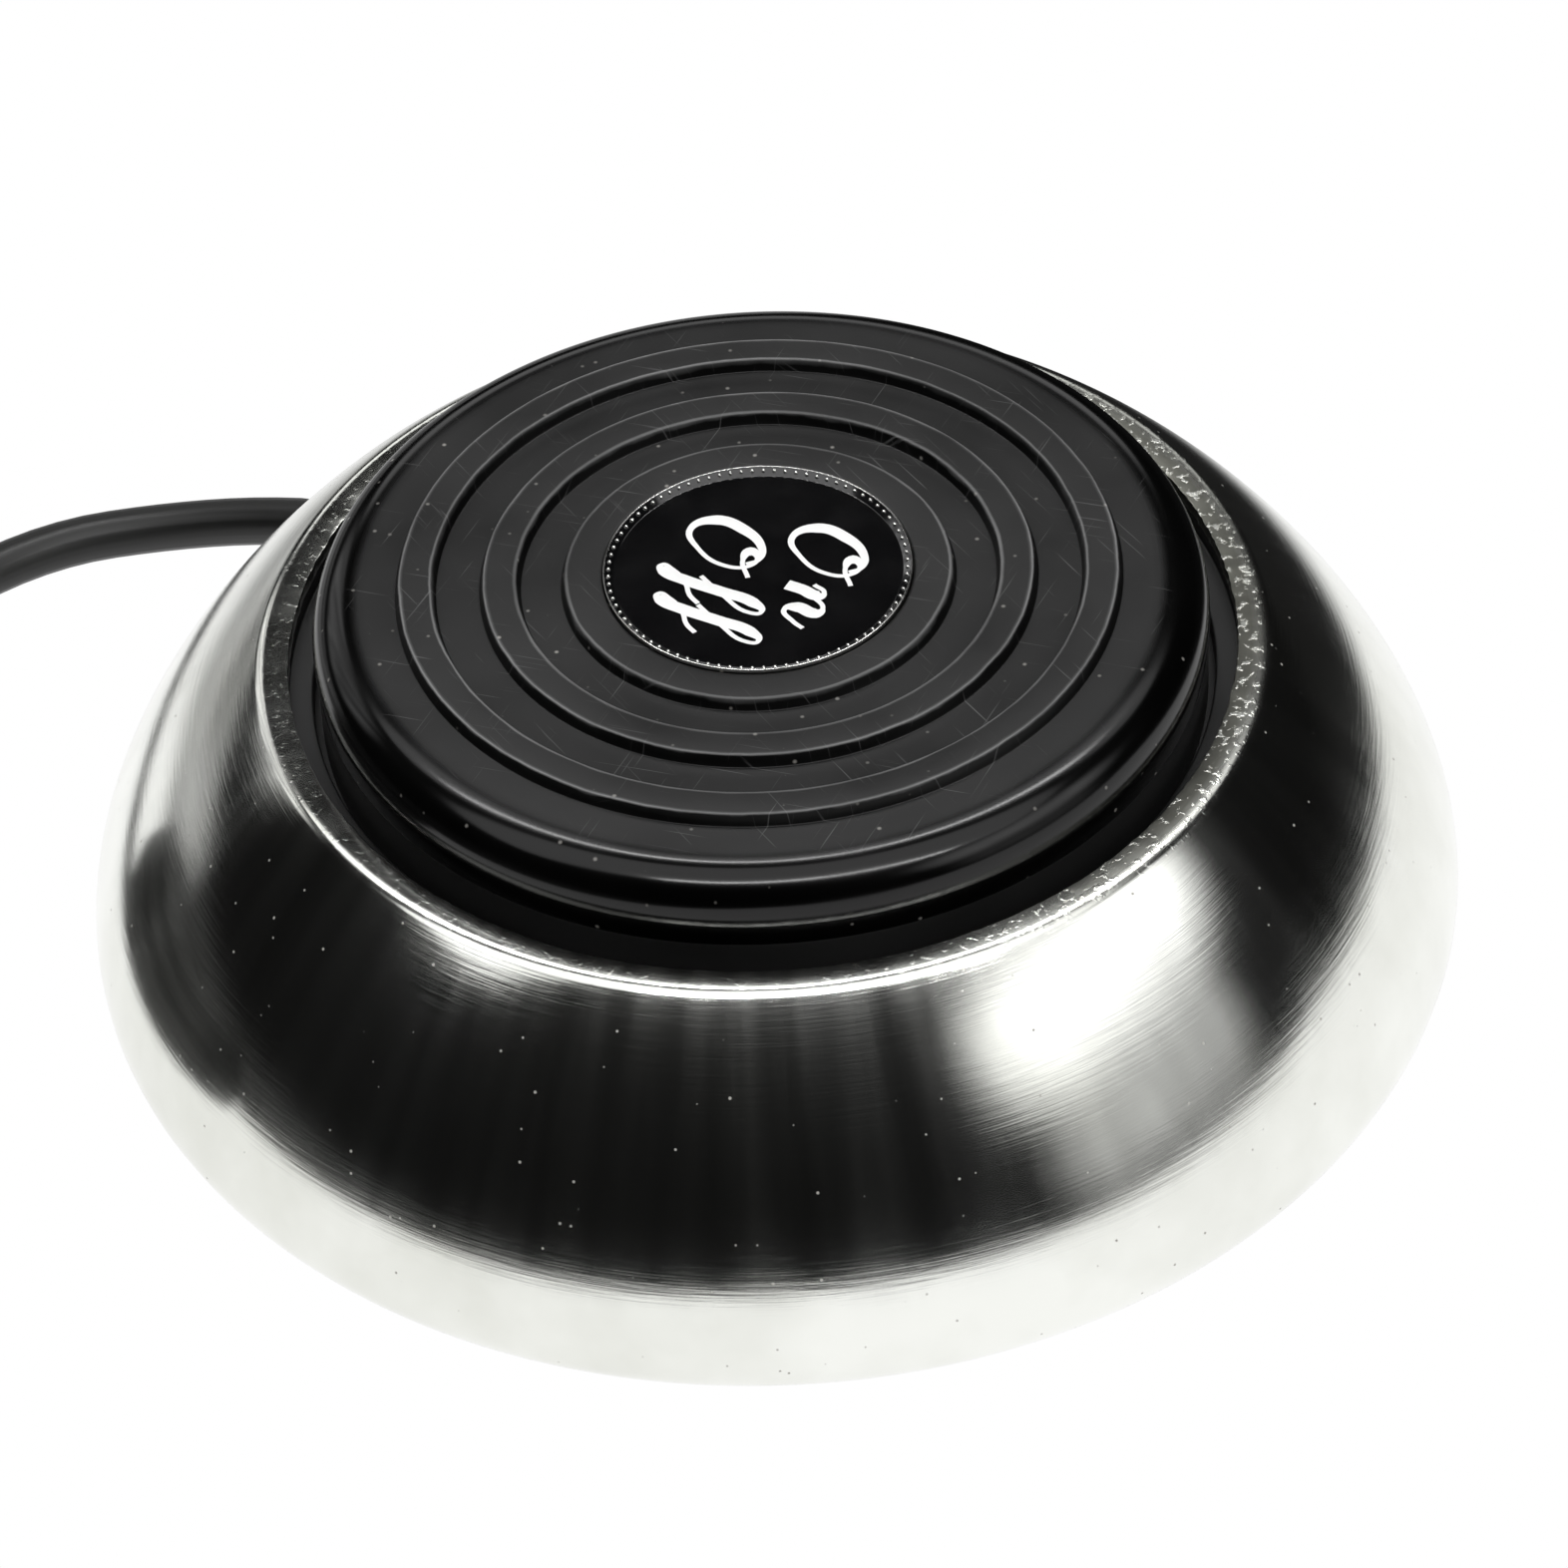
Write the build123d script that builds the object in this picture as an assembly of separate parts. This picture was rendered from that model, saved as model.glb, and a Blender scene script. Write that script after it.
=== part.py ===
from build123d import *
import math
import os

# Round foot switch: a spun metal shell, a sprung rubber-faced pedal that presses
# the lever of a snap-action switch, and a thin control lead with a jack plug.
# Millimetres, +Z up, origin on the floor under the middle of the base.

# Shell
shell_spread = 17.2
shell_wall = 1.0
shell_widest_z = 6.8
shell_curl_r = 4.6
flange_inset = 3.6
lip_flat = 1.6
lip_z = 31.2
lip_round = 1.6
flank_angle = 42.0
flank_top_pull = 9.0
flank_low_pull = 7.0

# Base
base_sheet = 1.2
base_rim_overlap = 2.3
base_fit = 0.3
mat_edge_gap = 0.6
mat_groove = 0.7
mat_groove_width = 1.6
mat_groove_radii = (14.0, 21.0, 28.0, 35.0)
tab_count = 4
tab_first_angle = 75.0
tab_sheet = 1.5
tab_width = 9.0
tab_reach = 8.0
screw_inset = 4.5
screw_r = 1.5
screw_head_r = 3.0
screw_head = 1.4
screw_hole_play = 0.3

# Guide ring under the lip
ledge_cover = 1.7
ring_ledge_drop = 1.7
ring_ledge = 1.7
ring_collar_play = 0.2
key_count = 3
key_first_angle = 30.0
key_width = 3.0
key_play = 0.25

# Pedal
pedal_top_z = 38.5
pedal_step = 1.0
step_draft = 0.3
edge_break = 0.15
pedal_r = 34.4
pedal_play = 0.4
pedal_bead = 0.15
shoulder_r = 3.5
pad_skin = 3.1
pad_wall = 1.5
pad_skirt_drop = 2.4
tread_shares = (0.155, 0.349, 0.483, 0.69, 0.822)
travel = 3.5
skirt_wall = 2.0
neck_wall = 1.9
flange_sheet = 1.7
flange_out = 1.9
flange_play = 0.1
plate_sheet = 2.2
rib_count = 6
rib_sheet = 1.6
rib_depth = 3.3

# Badge
badge_r = 11.84
badge_seat_depth = 1.2
badge_seat_play = 0.06
badge_rim = 0.35
badge_bevel = 1.15
badge_stand = 0.25
badge_sheet = 0.6
badge_face_sheet = 0.4

# Guide post, sleeve and spring
post_r = 4.0
post_rivet_r = 2.5
post_head_r = 4.0
post_head = 0.8
sleeve_play = 0.06
sleeve_wall = 2.1
sleeve_length = 20.2
post_cover = 12.5
spring_mean_r = 8.5
spring_wire_r = 0.8
spring_turns = 5.5
spring_end_gap = 0.05
seat_sheet = 1.0
seat_rim = 2.0
seat_play = 0.8

# Snap-action switch
case_width = 10.3
case_length = 27.8
case_height = 15.9
case_lift = 2.0
case_chamfer = 0.6
case_screw_y = 11.1
case_screw_low = 2.85
case_screw_rise = 10.3
case_screw_r = 1.5
case_head_r = 2.8
case_head = 1.6
bracket_sheet = 1.2
bracket_length = 26.0
bracket_height = 17.0
bracket_foot = 8.0
bracket_rim_gap = 11.15
rivet_r = 1.2
rivet_head_r = 2.2
rivet_head = 1.0
rivet_spread = 12.0
blade_sheet = 0.8
blade_width = 4.8
blade_length = 6.0
blade_spacing = 5.0

# Switch lever and plunger
pivot_y = 10.5
pivot_rise = 1.5
pin_r = 0.5
pin_play = 0.05
eye_wall = 0.55
ear_sheet = 1.0
ear_gap = 0.2
lever_width = 4.0
lever_sheet = 0.4
lever_tail = 2.5
lever_rest_angle = 12.0
boss_y = -9.5
boss_r = 2.2
boss_gap = 0.15
plunger_y = 3.0
plunger_r = 1.5
plunger_play = 0.06
plunger_well = 5.0
plunger_gap = 0.1

# Lead, its route from the hole, and the coil and plug beside the switch
cord_r = 2.0
cord_hole_angle = 127.0
cord_start_angle = 123.5
cord_start_inset = 15.7
cord_straight_in = 6.7
cord_straight_out = 2.8
cord_route = (
    (-9.5, 6.3, 2.3),
    (-17.6, 8.2, 0.5),
    (-26.0, 7.6, 0.0),
    (-34.1, 3.1, 0.0),
    (-40.3, -3.5, 0.0),
    (-43.1, -11.9, 0.1),
    (-42.9, -22.3, 0.6),
    (-41.9, -32.3, 1.3),
)
tail_route = (
    (0.0, -29.0, 1.5),
    (-10.0, -28.6, 1.2),
    (-20.0, -27.2, 0.8),
    (-29.0, -22.8, 0.4),
    (-35.4, -15.2, 0.0),
    (-37.8, -5.6, 0.0),
)
floor_gap = 0.02
grommet_neck_r = 3.6
grommet_flange_r = 4.7
grommet_flange = 1.3
anchor_length = 4.6
anchor_width = 19.0
anchor_cover = 2.0
anchor_start = 0.3
anchor_top_cover = 1.6
anchor_screw_spread = 13.0
anchor_screw_r = 1.25
anchor_head_r = 2.4
anchor_head = 1.4
wire_r = 0.7
wire_pitch = 1.7
wire_straight = 5.0
wire_route = ((-29.7, 3.1), (-20.7, 1.7), (-11.7, 3.3), (-4.6, 6.6), (-0.4, 5.2))
wire_rise_shares = (0.1, 0.35, 0.7, 1.0, 1.0)
wire_sway_shares = (1.0, 1.0, 1.0, 0.5, 0.5)
high_wire_sway = 3.2
coil_offset = (-68.7, -40.9)
coil_mid_r = 23.0
coil_fill_share = 0.82
tie_sheet = 0.6
tie_width = 5.0
tie_angle = 110.0
cord_length = 1800.0

# Jack plug
jack_r = 3.175
jack_sleeve = 17.5
jack_insulator = 1.2
jack_tip = 11.3
jack_tip_waist_r = 2.0
jack_handle_r = 5.6
jack_handle = 27.0
jack_collar = 2.6
jack_chamfer = 0.6
jack_waist = 0.7
jack_boot = 15.0
jack_boot_mouth_r = 2.9
jack_boot_step = 1.4
boot_groove = 0.5
boot_groove_width = 0.8

# Levels and radii that follow from the sizes above
ring_ledge_r = pedal_r + pedal_play
lip_r = ring_ledge_r + ledge_cover
shell_max_r = lip_r + shell_spread
shell_flange_r = shell_max_r - shell_curl_r - flange_inset
screw_circle_r = shell_flange_r - screw_inset
plate_top = shell_widest_z - shell_curl_r + shell_wall
base_rim_z = plate_top - shell_wall - base_sheet
base_z = plate_top - base_sheet
base_rim_r = shell_flange_r + base_rim_overlap
base_inner_r = shell_flange_r - base_fit
lip_under_z = lip_z - shell_wall
lip_flat_r = lip_r + lip_flat
ledge_top = lip_under_z - ring_ledge_drop
ledge_low = ledge_top - ring_ledge
pad_low_z = pedal_top_z - pedal_step
pad_inner_z = pedal_top_z - pedal_step - pad_skin
pad_foot_z = pad_low_z - shoulder_r - pad_skirt_drop
shoulder_in = pedal_r - shoulder_r
neck_r = pedal_r - pad_wall
skirt_r = pedal_r - pedal_bead
flange_top = ledge_low - flange_play
flange_r = skirt_r + flange_out
carrier_under = pad_inner_z - plate_sheet
sleeve_bore_r = post_r + sleeve_play
sleeve_low = carrier_under - sleeve_length
post_top = sleeve_low + post_cover
seat_top = plate_top + seat_sheet
case_low = plate_top + case_lift
case_top = case_low + case_height
case_end = case_length / 2
case_x = shell_flange_r - bracket_rim_gap - bracket_foot - bracket_sheet - case_width / 2
case_in_x = case_x - case_width / 2
case_out_x = case_x + case_width / 2
pivot_z = case_top + pivot_rise
boss_reach = pivot_y - boss_y
boss_low = (
    pivot_z
    + boss_reach * math.tan(math.radians(lever_rest_angle))
    + lever_sheet / 2 / math.cos(math.radians(lever_rest_angle))
    + boss_gap
)
lever_swing = lever_rest_angle - math.degrees(
    math.atan(math.tan(math.radians(lever_rest_angle)) - travel / boss_reach)
)
plunger_reach = pivot_y - plunger_y
plunger_travel = travel * plunger_reach / boss_reach
plunger_top = (
    pivot_z
    + (plunger_reach - plunger_r) * math.tan(math.radians(lever_rest_angle))
    - lever_sheet / 2 / math.cos(math.radians(lever_rest_angle))
    - plunger_gap
)
cord_exit_z = shell_widest_z
cord_floor_z = cord_r + floor_gap


def at(radius, angle, z=0.0):
    """Point at a radius and an angle in degrees about the vertical axis."""
    turn = math.radians(angle)
    return Vector(radius * math.cos(turn), radius * math.sin(turn), z)


def rz(radius, z):
    """Point of a section in the plane of X and Z."""
    return Vector(radius, 0, z)


def turned(points):
    """Solid of revolution about Z from the corners of its half section."""
    outline = Polyline(*[rz(r, z) for r, z in points], close=True)
    return revolve(make_face(outline), Axis.Z)


def washer(outer_r, inner_r, low, high):
    """Flat ring between two levels."""
    ring = Cylinder(outer_r, high - low, align=(Align.CENTER, Align.CENTER, Align.MIN))
    if inner_r > 0:
        ring -= Cylinder(inner_r, high - low, align=(Align.CENTER, Align.CENTER, Align.MIN))
    return Pos(0, 0, low) * ring


def rod(start, end, radius):
    """Round rod between two points."""
    run = Vector(*end) - Vector(*start)
    plane = Plane(origin=start, z_dir=run)
    return plane * Cylinder(radius, run.length, align=(Align.CENTER, Align.CENTER, Align.MIN))


def block(x_range, y_range, z_range):
    """Plain block given by its limits along the three axes."""
    size = [high - low for low, high in (x_range, y_range, z_range)]
    middle = [(high + low) / 2 for low, high in (x_range, y_range, z_range)]
    return Pos(*middle) * Box(*size)


def corner_radii(points, share=0.45):
    """Bend radius at each inner point, as large as the two runs allow."""
    radii = []
    for before, here, after in zip(points, points[1:], points[2:]):
        run_in = here - before
        run_out = after - here
        turn = run_in.get_angle(run_out)
        shorter = min(run_in.length, run_out.length)
        radii.append(share * shorter / math.tan(math.radians(turn / 2)))
    return radii


def tube(name, points, radius):
    """Round cord along straight runs joined by tangent arcs."""
    radii = corner_radii(points)
    path = FilletPolyline(*points, radius=radii)
    section = Plane(origin=points[0], z_dir=points[1] - points[0]) * Circle(radius)
    solid = sweep(section, path=path)
    smallest = min(radii) if radii else 0.0
    expected = math.pi * radius**2 * path.length
    print(
        f"{name}: length {path.length:.1f}, smallest bend {smallest:.1f}, "
        f"volume {solid.volume:.1f} of {expected:.1f}"
    )
    return solid


def shell_side(inset):
    """Side of the shell's section, from the flat lip down to the bottom flange."""
    slope = math.radians(flank_angle)
    normal = (math.sin(slope), math.cos(slope))
    round_r = lip_round - inset
    middle = (lip_flat_r, lip_z - lip_round)
    half = math.radians(90 - flank_angle / 2)
    lip_start = rz(middle[0], middle[1] + round_r)
    lip_mid = rz(middle[0] + round_r * math.cos(half), middle[1] + round_r * math.sin(half))
    lip_end = rz(middle[0] + round_r * normal[0], middle[1] + round_r * normal[1])
    widest = rz(shell_max_r - inset, shell_widest_z)
    shrink = 1 - inset / shell_max_r
    pull_top = lip_end + rz(math.cos(slope), -math.sin(slope)) * flank_top_pull * shrink
    pull_low = widest + rz(0, 1) * flank_low_pull * shrink
    curl_x = shell_max_r - shell_curl_r
    curl = shell_curl_r - inset
    curl_mid = rz(curl_x + curl * math.sqrt(0.5), shell_widest_z - curl * math.sqrt(0.5))
    curl_end = rz(curl_x, shell_widest_z - curl)
    return [
        Line(rz(lip_r, lip_start.Z), lip_start),
        ThreePointArc(lip_start, lip_mid, lip_end),
        Bezier(lip_end, pull_top, pull_low, widest),
        ThreePointArc(widest, curl_mid, curl_end),
        Line(curl_end, rz(shell_flange_r, curl_end.Z)),
    ]


def make_shell():
    """Spun shell with a flat lip, a bulging flank and an inward bottom flange."""
    outside = shell_side(0)
    inside = shell_side(shell_wall)
    ends = [Line(outside[0] @ 0, inside[0] @ 0), Line(outside[-1] @ 1, inside[-1] @ 1)]
    body = revolve(make_face(outside + inside + ends), Axis.Z)
    hole = rod(
        at(shell_max_r - 4 * shell_wall, cord_hole_angle, cord_exit_z),
        at(shell_max_r + 2 * shell_wall, cord_hole_angle, cord_exit_z),
        grommet_neck_r,
    )
    return body - hole


def tab_angles():
    """Angles of the fixing tabs and base screws."""
    return [tab_first_angle + 360 / tab_count * i for i in range(tab_count)]


def make_base_plate():
    """Pressed disc whose raised middle locates in the shell's bottom opening."""
    plate = turned(
        [
            (0, base_z),
            (base_inner_r - base_sheet, base_z),
            (base_inner_r - base_sheet, base_rim_z),
            (base_rim_r, base_rim_z),
            (base_rim_r, base_rim_z + base_sheet),
            (base_inner_r, base_rim_z + base_sheet),
            (base_inner_r, plate_top),
            (0, plate_top),
        ]
    )
    for angle in tab_angles():
        plate -= Pos(at(screw_circle_r, angle, base_z)) * Cylinder(
            screw_r + screw_hole_play, 4 * base_sheet
        )
    plate -= Pos(0, 0, base_z) * Cylinder(post_rivet_r, 4 * base_sheet)
    for x, y in rivet_places():
        plate -= Pos(x, y, base_z) * Cylinder(rivet_r, 4 * base_sheet)
    for x, y in anchor_screw_places():
        plate -= Pos(x, y, base_z) * Cylinder(anchor_screw_r, 4 * base_sheet)
    return plate


def make_floor_mat():
    """Grooved rubber disc that the switch stands on."""
    edge = base_inner_r - base_sheet - mat_edge_gap
    mat = washer(edge, post_head_r + 1, 0, base_z)
    for groove_r in mat_groove_radii:
        mat -= washer(groove_r + mat_groove_width, groove_r, -mat_groove, mat_groove)
    for angle in tab_angles():
        mat -= Pos(at(screw_circle_r, angle, base_z)) * Cylinder(
            screw_head_r + screw_hole_play, 3 * base_z
        )
    return mat


def make_fixing_tabs():
    """Tapped tabs welded to the inside of the bottom flange."""
    curl_x = shell_max_r - shell_curl_r
    tabs = []
    for angle in tab_angles():
        tab = block(
            (shell_flange_r - tab_reach, curl_x - shell_wall / 2),
            (-tab_width / 2, tab_width / 2),
            (plate_top, plate_top + tab_sheet),
        )
        tab = fillet(tab.edges().filter_by(Axis.Z).group_by(Axis.X)[0], tab_width / 3)
        tab -= Pos(screw_circle_r, 0, plate_top) * Cylinder(screw_r, 4 * tab_sheet)
        tabs.append(Rot(0, 0, angle) * tab)
    return Compound(children=tabs)


def pan_screw(place, direction, shaft_r, shaft, head_r, head):
    """Cross-head screw with its head's seat at a place, shaft along a direction."""
    plane = Plane(origin=place, z_dir=direction)
    body = Cylinder(shaft_r, shaft, align=(Align.CENTER, Align.CENTER, Align.MIN))
    top = Pos(0, 0, -head) * Cylinder(head_r, head, align=(Align.CENTER, Align.CENTER, Align.MIN))
    top = fillet(top.edges().group_by(Axis.Z)[0], head * 0.4)
    for turn in (0, 90):
        top -= Pos(0, 0, -head) * Rot(0, 0, turn) * Box(head_r, head_r / 4, head)
    return plane * (body + top)


def make_base_screws():
    """Four screws that hold the base plate to the tabs."""
    length = base_sheet + tab_sheet + 1
    screws = [
        pan_screw(at(screw_circle_r, a, base_z), (0, 0, 1), screw_r, length, screw_head_r, screw_head)
        for a in tab_angles()
    ]
    return Compound(children=screws)


def make_guide_ring():
    """Moulded ring under the lip: a collar, a ledge that stops the pedal, three keys."""
    ring = turned(
        [
            (ring_ledge_r, ledge_low),
            (lip_flat_r, ledge_low),
            (lip_flat_r, lip_under_z),
            (lip_r + ring_collar_play, lip_under_z),
            (lip_r + ring_collar_play, ledge_top),
            (ring_ledge_r + edge_break, ledge_top),
            (ring_ledge_r, ledge_top - edge_break),
        ]
    )
    key_low = flange_top - flange_sheet - travel - edge_break
    for i in range(key_count):
        key = block(
            (ring_ledge_r + 2 * edge_break, lip_flat_r - lip_flat / 2),
            (-key_width / 2, key_width / 2),
            (key_low, ledge_low + ring_ledge / 2),
        )
        ring += Rot(0, 0, key_first_angle + 360 / key_count * i) * key
    return ring


def tread_steps():
    """Corners of the tread's top from the badge seat out to the shoulder."""
    high = pedal_top_z
    low = pad_low_z
    corners = []
    raised = True
    for share in tread_shares:
        radius = badge_r + share * (shoulder_in - badge_r)
        if raised:
            corners += [
                (radius - edge_break, high),
                (radius, high - edge_break),
                (radius + step_draft, low),
            ]
        else:
            corners += [
                (radius - step_draft, low),
                (radius, high - edge_break),
                (radius + edge_break, high),
            ]
        raised = not raised
    return corners


def make_pedal_pad():
    """Rubber tread: stepped rings, a round shoulder, a thin bead and a wrapped edge."""
    seat_r = badge_r + badge_seat_play
    seat_z = pedal_top_z - badge_seat_depth
    top = [(seat_r, seat_z), (seat_r, pedal_top_z - edge_break), (seat_r + edge_break, pedal_top_z)]
    top += tread_steps()
    top.append((shoulder_in, pad_low_z))
    middle_z = pad_low_z - shoulder_r
    shoulder = ThreePointArc(
        rz(shoulder_in, pad_low_z),
        rz(shoulder_in + shoulder_r * math.sqrt(0.5), middle_z + shoulder_r * math.sqrt(0.5)),
        rz(pedal_r, middle_z),
    )
    side = Polyline(
        rz(pedal_r, middle_z),
        rz(pedal_r, middle_z - 2 * pedal_bead),
        rz(skirt_r, middle_z - 4 * pedal_bead),
        rz(skirt_r, pad_foot_z),
        rz(neck_r, pad_foot_z),
        rz(neck_r, pad_inner_z),
        rz(0, pad_inner_z),
        rz(0, seat_z),
        rz(*top[0]),
    )
    tread = Polyline(*[rz(r, z) for r, z in top])
    return revolve(make_face([tread, shoulder, side]), Axis.Z)


def make_pedal_carrier():
    """Moulded cup behind the tread, with a stop flange, sleeve, ribs and push boss."""
    skirt_in = skirt_r - skirt_wall
    neck_in = neck_r - neck_wall
    flange_low = flange_top - flange_sheet
    step_z = pad_foot_z - skirt_wall
    sleeve_r = sleeve_bore_r + sleeve_wall
    cup = turned(
        [
            (0, pad_inner_z),
            (neck_r, pad_inner_z),
            (neck_r, pad_foot_z),
            (skirt_r, pad_foot_z),
            (skirt_r, flange_top),
            (flange_r, flange_top),
            (flange_r, flange_low),
            (skirt_in, flange_low),
            (skirt_in, step_z),
            (neck_in, step_z + skirt_in - neck_in),
            (neck_in, carrier_under),
            (sleeve_r, carrier_under),
            (sleeve_r, sleeve_low),
            (0, sleeve_low),
        ]
    )
    for i in range(rib_count):
        rib = block(
            (sleeve_r - edge_break, neck_in + edge_break),
            (-rib_sheet / 2, rib_sheet / 2),
            (carrier_under - rib_depth, carrier_under + edge_break),
        )
        cup += Rot(0, 0, 360 / rib_count * i) * rib
    boss_top = carrier_under + edge_break
    cup += rod((case_x, boss_y, boss_low + boss_r), (case_x, boss_y, boss_top), boss_r)
    cup += Pos(case_x, boss_y, boss_low + boss_r) * Sphere(boss_r)
    cup -= Pos(0, 0, sleeve_low) * Cylinder(
        sleeve_bore_r, sleeve_length, align=(Align.CENTER, Align.CENTER, Align.MIN)
    )
    for i in range(key_count):
        notch = block(
            (skirt_r, flange_r + 1),
            (-key_width / 2 - key_play, key_width / 2 + key_play),
            (flange_low - 1, flange_top + edge_break / 2),
        )
        cup -= Rot(0, 0, key_first_angle + 360 / key_count * i) * notch
    return cup


def make_badge_dish():
    """Stamped metal badge with a thin rim and a sloping border round a shallow seat."""
    low = pedal_top_z - badge_seat_depth
    high = pedal_top_z + badge_stand
    field = low + badge_sheet
    face_r = badge_r - badge_rim - badge_bevel
    return turned(
        [
            (0, low),
            (badge_r, low),
            (badge_r, high - badge_rim / 3),
            (badge_r - badge_rim / 3, high),
            (badge_r - badge_rim, high),
            (face_r, field + badge_face_sheet),
            (face_r, field),
            (0, field),
        ]
    )


def make_badge_face():
    """Plain dark disc let into the badge."""
    low = pedal_top_z - badge_seat_depth + badge_sheet
    face_r = badge_r - badge_rim - badge_bevel
    return washer(face_r, 0, low, low + badge_face_sheet)


def make_guide_post():
    """Steel post riveted to the base plate."""
    return turned(
        [
            (0, base_z - post_head),
            (post_head_r - post_head / 2, base_z - post_head),
            (post_head_r, base_z),
            (post_rivet_r, base_z),
            (post_rivet_r, plate_top),
            (post_r, plate_top),
            (post_r, post_top - post_r / 4),
            (post_r - post_r / 4, post_top),
            (0, post_top),
        ]
    )


def make_spring_seat():
    """Turned-up washer that holds the spring's lower end."""
    outer = spring_mean_r + spring_wire_r + seat_play + seat_sheet
    return turned(
        [
            (post_r, plate_top),
            (outer, plate_top),
            (outer, seat_top + seat_rim),
            (outer - seat_sheet, seat_top + seat_rim),
            (outer - seat_sheet, seat_top),
            (post_r, seat_top),
        ]
    )


def make_return_spring():
    """Open coil spring between the seat and the pedal."""
    low = seat_top + spring_wire_r + spring_end_gap
    high = carrier_under - rib_depth - spring_wire_r - spring_end_gap
    path = Helix(pitch=(high - low) / spring_turns, height=high - low, radius=spring_mean_r)
    path = Pos(0, 0, low) * path
    section = Plane(origin=path @ 0, z_dir=path % 0) * Circle(spring_wire_r)
    return sweep(section, path=path, is_frenet=True)


def case_screw_places():
    """Height and length position of the two screws through the switch."""
    low = case_low + case_screw_low
    return [(-case_screw_y, low + case_screw_rise), (case_screw_y, low)]


def make_switch_case():
    """Moulded case of the snap-action switch, with ears for the lever's pin."""
    case = block((case_in_x, case_out_x), (-case_end, case_end), (case_low, case_top))
    case = chamfer(case.edges().filter_by(Axis.Z), case_chamfer)
    eye_r = pin_r + pin_play + eye_wall
    for side in (-1, 1):
        near = case_x + side * (lever_width / 2 + ear_gap)
        far = near + side * ear_sheet
        low_x, high_x = min(near, far), max(near, far)
        case += block((low_x, high_x), (pivot_y - eye_r, pivot_y + eye_r), (case_top, pivot_z))
        case += rod((low_x, pivot_y, pivot_z), (high_x, pivot_y, pivot_z), eye_r)
    case -= rod((case_in_x, pivot_y, pivot_z), (case_out_x, pivot_y, pivot_z), pin_r)
    for y, z in case_screw_places():
        case -= rod((case_in_x - 1, y, z), (case_out_x + 1, y, z), case_screw_r)
    well = plunger_well + plunger_travel
    case -= Pos(case_x, plunger_y, case_top - well) * Cylinder(
        plunger_r + plunger_play, well + 1, align=(Align.CENTER, Align.CENTER, Align.MIN)
    )
    return case


def make_lever_pin():
    """Pin that the lever turns on."""
    half = lever_width / 2 + ear_gap + ear_sheet
    return rod((case_x - half, pivot_y, pivot_z), (case_x + half, pivot_y, pivot_z), pin_r)


def make_switch_lever():
    """Spring-steel lever with a rolled eye."""
    eye_r = pin_r + pin_play + eye_wall
    left = case_x - lever_width / 2
    right = case_x + lever_width / 2
    reach = boss_reach + lever_tail
    strip = block((left, right), (-reach, 0), (-lever_sheet / 2, lever_sheet / 2))
    strip = Pos(0, pivot_y, pivot_z) * Rot(-lever_rest_angle, 0, 0) * strip
    lever = strip + rod((left, pivot_y, pivot_z), (right, pivot_y, pivot_z), eye_r)
    return lever - rod(
        (left - 1, pivot_y, pivot_z), (right + 1, pivot_y, pivot_z), pin_r + pin_play
    )


def make_switch_plunger():
    """Small button that the lever presses into the case."""
    low = case_top - plunger_well
    body = rod((case_x, plunger_y, low), (case_x, plunger_y, plunger_top), plunger_r)
    return chamfer(body.edges().group_by(Axis.Z)[-1], plunger_r / 5)


def make_switch_bracket():
    """Bent sheet bracket between the switch and the base plate."""
    inner = case_out_x
    outer = inner + bracket_sheet
    profile = Polyline(
        rz(inner, plate_top),
        rz(inner + bracket_foot + bracket_sheet, plate_top),
        rz(inner + bracket_foot + bracket_sheet, plate_top + bracket_sheet),
        rz(outer + bracket_sheet, plate_top + bracket_sheet),
        rz(outer, plate_top + 2 * bracket_sheet),
        rz(outer, plate_top + bracket_height),
        rz(inner, plate_top + bracket_height),
        close=True,
    )
    bracket = extrude(make_face(profile), amount=bracket_length / 2, dir=(0, 1, 0), both=True)
    for y, z in case_screw_places():
        bracket -= rod((inner - 1, y, z), (outer + 1, y, z), case_screw_r)
    for x, y in rivet_places():
        bracket -= Pos(x, y, plate_top) * Cylinder(rivet_r, 4 * bracket_sheet)
    return bracket


def rivet_places():
    """Plan positions of the bracket's rivets."""
    x = case_out_x + bracket_sheet + bracket_foot / 2
    return [(x, -rivet_spread / 2), (x, rivet_spread / 2)]


def make_bracket_rivets():
    """Two rivets that hold the bracket to the base plate."""
    top = plate_top + bracket_sheet
    rivets = []
    for x, y in rivet_places():
        rivet = turned(
            [
                (0, base_z),
                (rivet_r, base_z),
                (rivet_r, top),
                (rivet_head_r, top),
                (rivet_head_r * 0.6, top + rivet_head),
                (0, top + rivet_head),
            ]
        )
        rivets.append(Pos(x, y, 0) * rivet)
    return Compound(children=rivets)


def make_switch_screws():
    """Two screws that hold the switch to its bracket."""
    length = case_width + bracket_sheet + 1
    screws = [
        pan_screw((case_in_x, y, z), (1, 0, 0), case_screw_r, length, case_head_r, case_head)
        for y, z in case_screw_places()
    ]
    return Compound(children=screws)


def blade_heights():
    """Heights of the three terminal blades, in the middle of the case."""
    middle = case_low + case_height / 2
    return [middle - blade_spacing, middle, middle + blade_spacing]


def make_switch_terminals():
    """Three blades at the end of the switch, pierced near their tips."""
    blades = []
    for z in blade_heights():
        blade = block(
            (case_x - blade_width / 2, case_x + blade_width / 2),
            (case_end, case_end + blade_length),
            (z - blade_sheet / 2, z + blade_sheet / 2),
        )
        tip = case_end + blade_length * 0.45
        blade -= Pos(case_x - blade_width / 4, tip, z) * Cylinder(blade_width / 8, 4 * blade_sheet)
        blades.append(blade)
    return Compound(children=blades)


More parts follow.
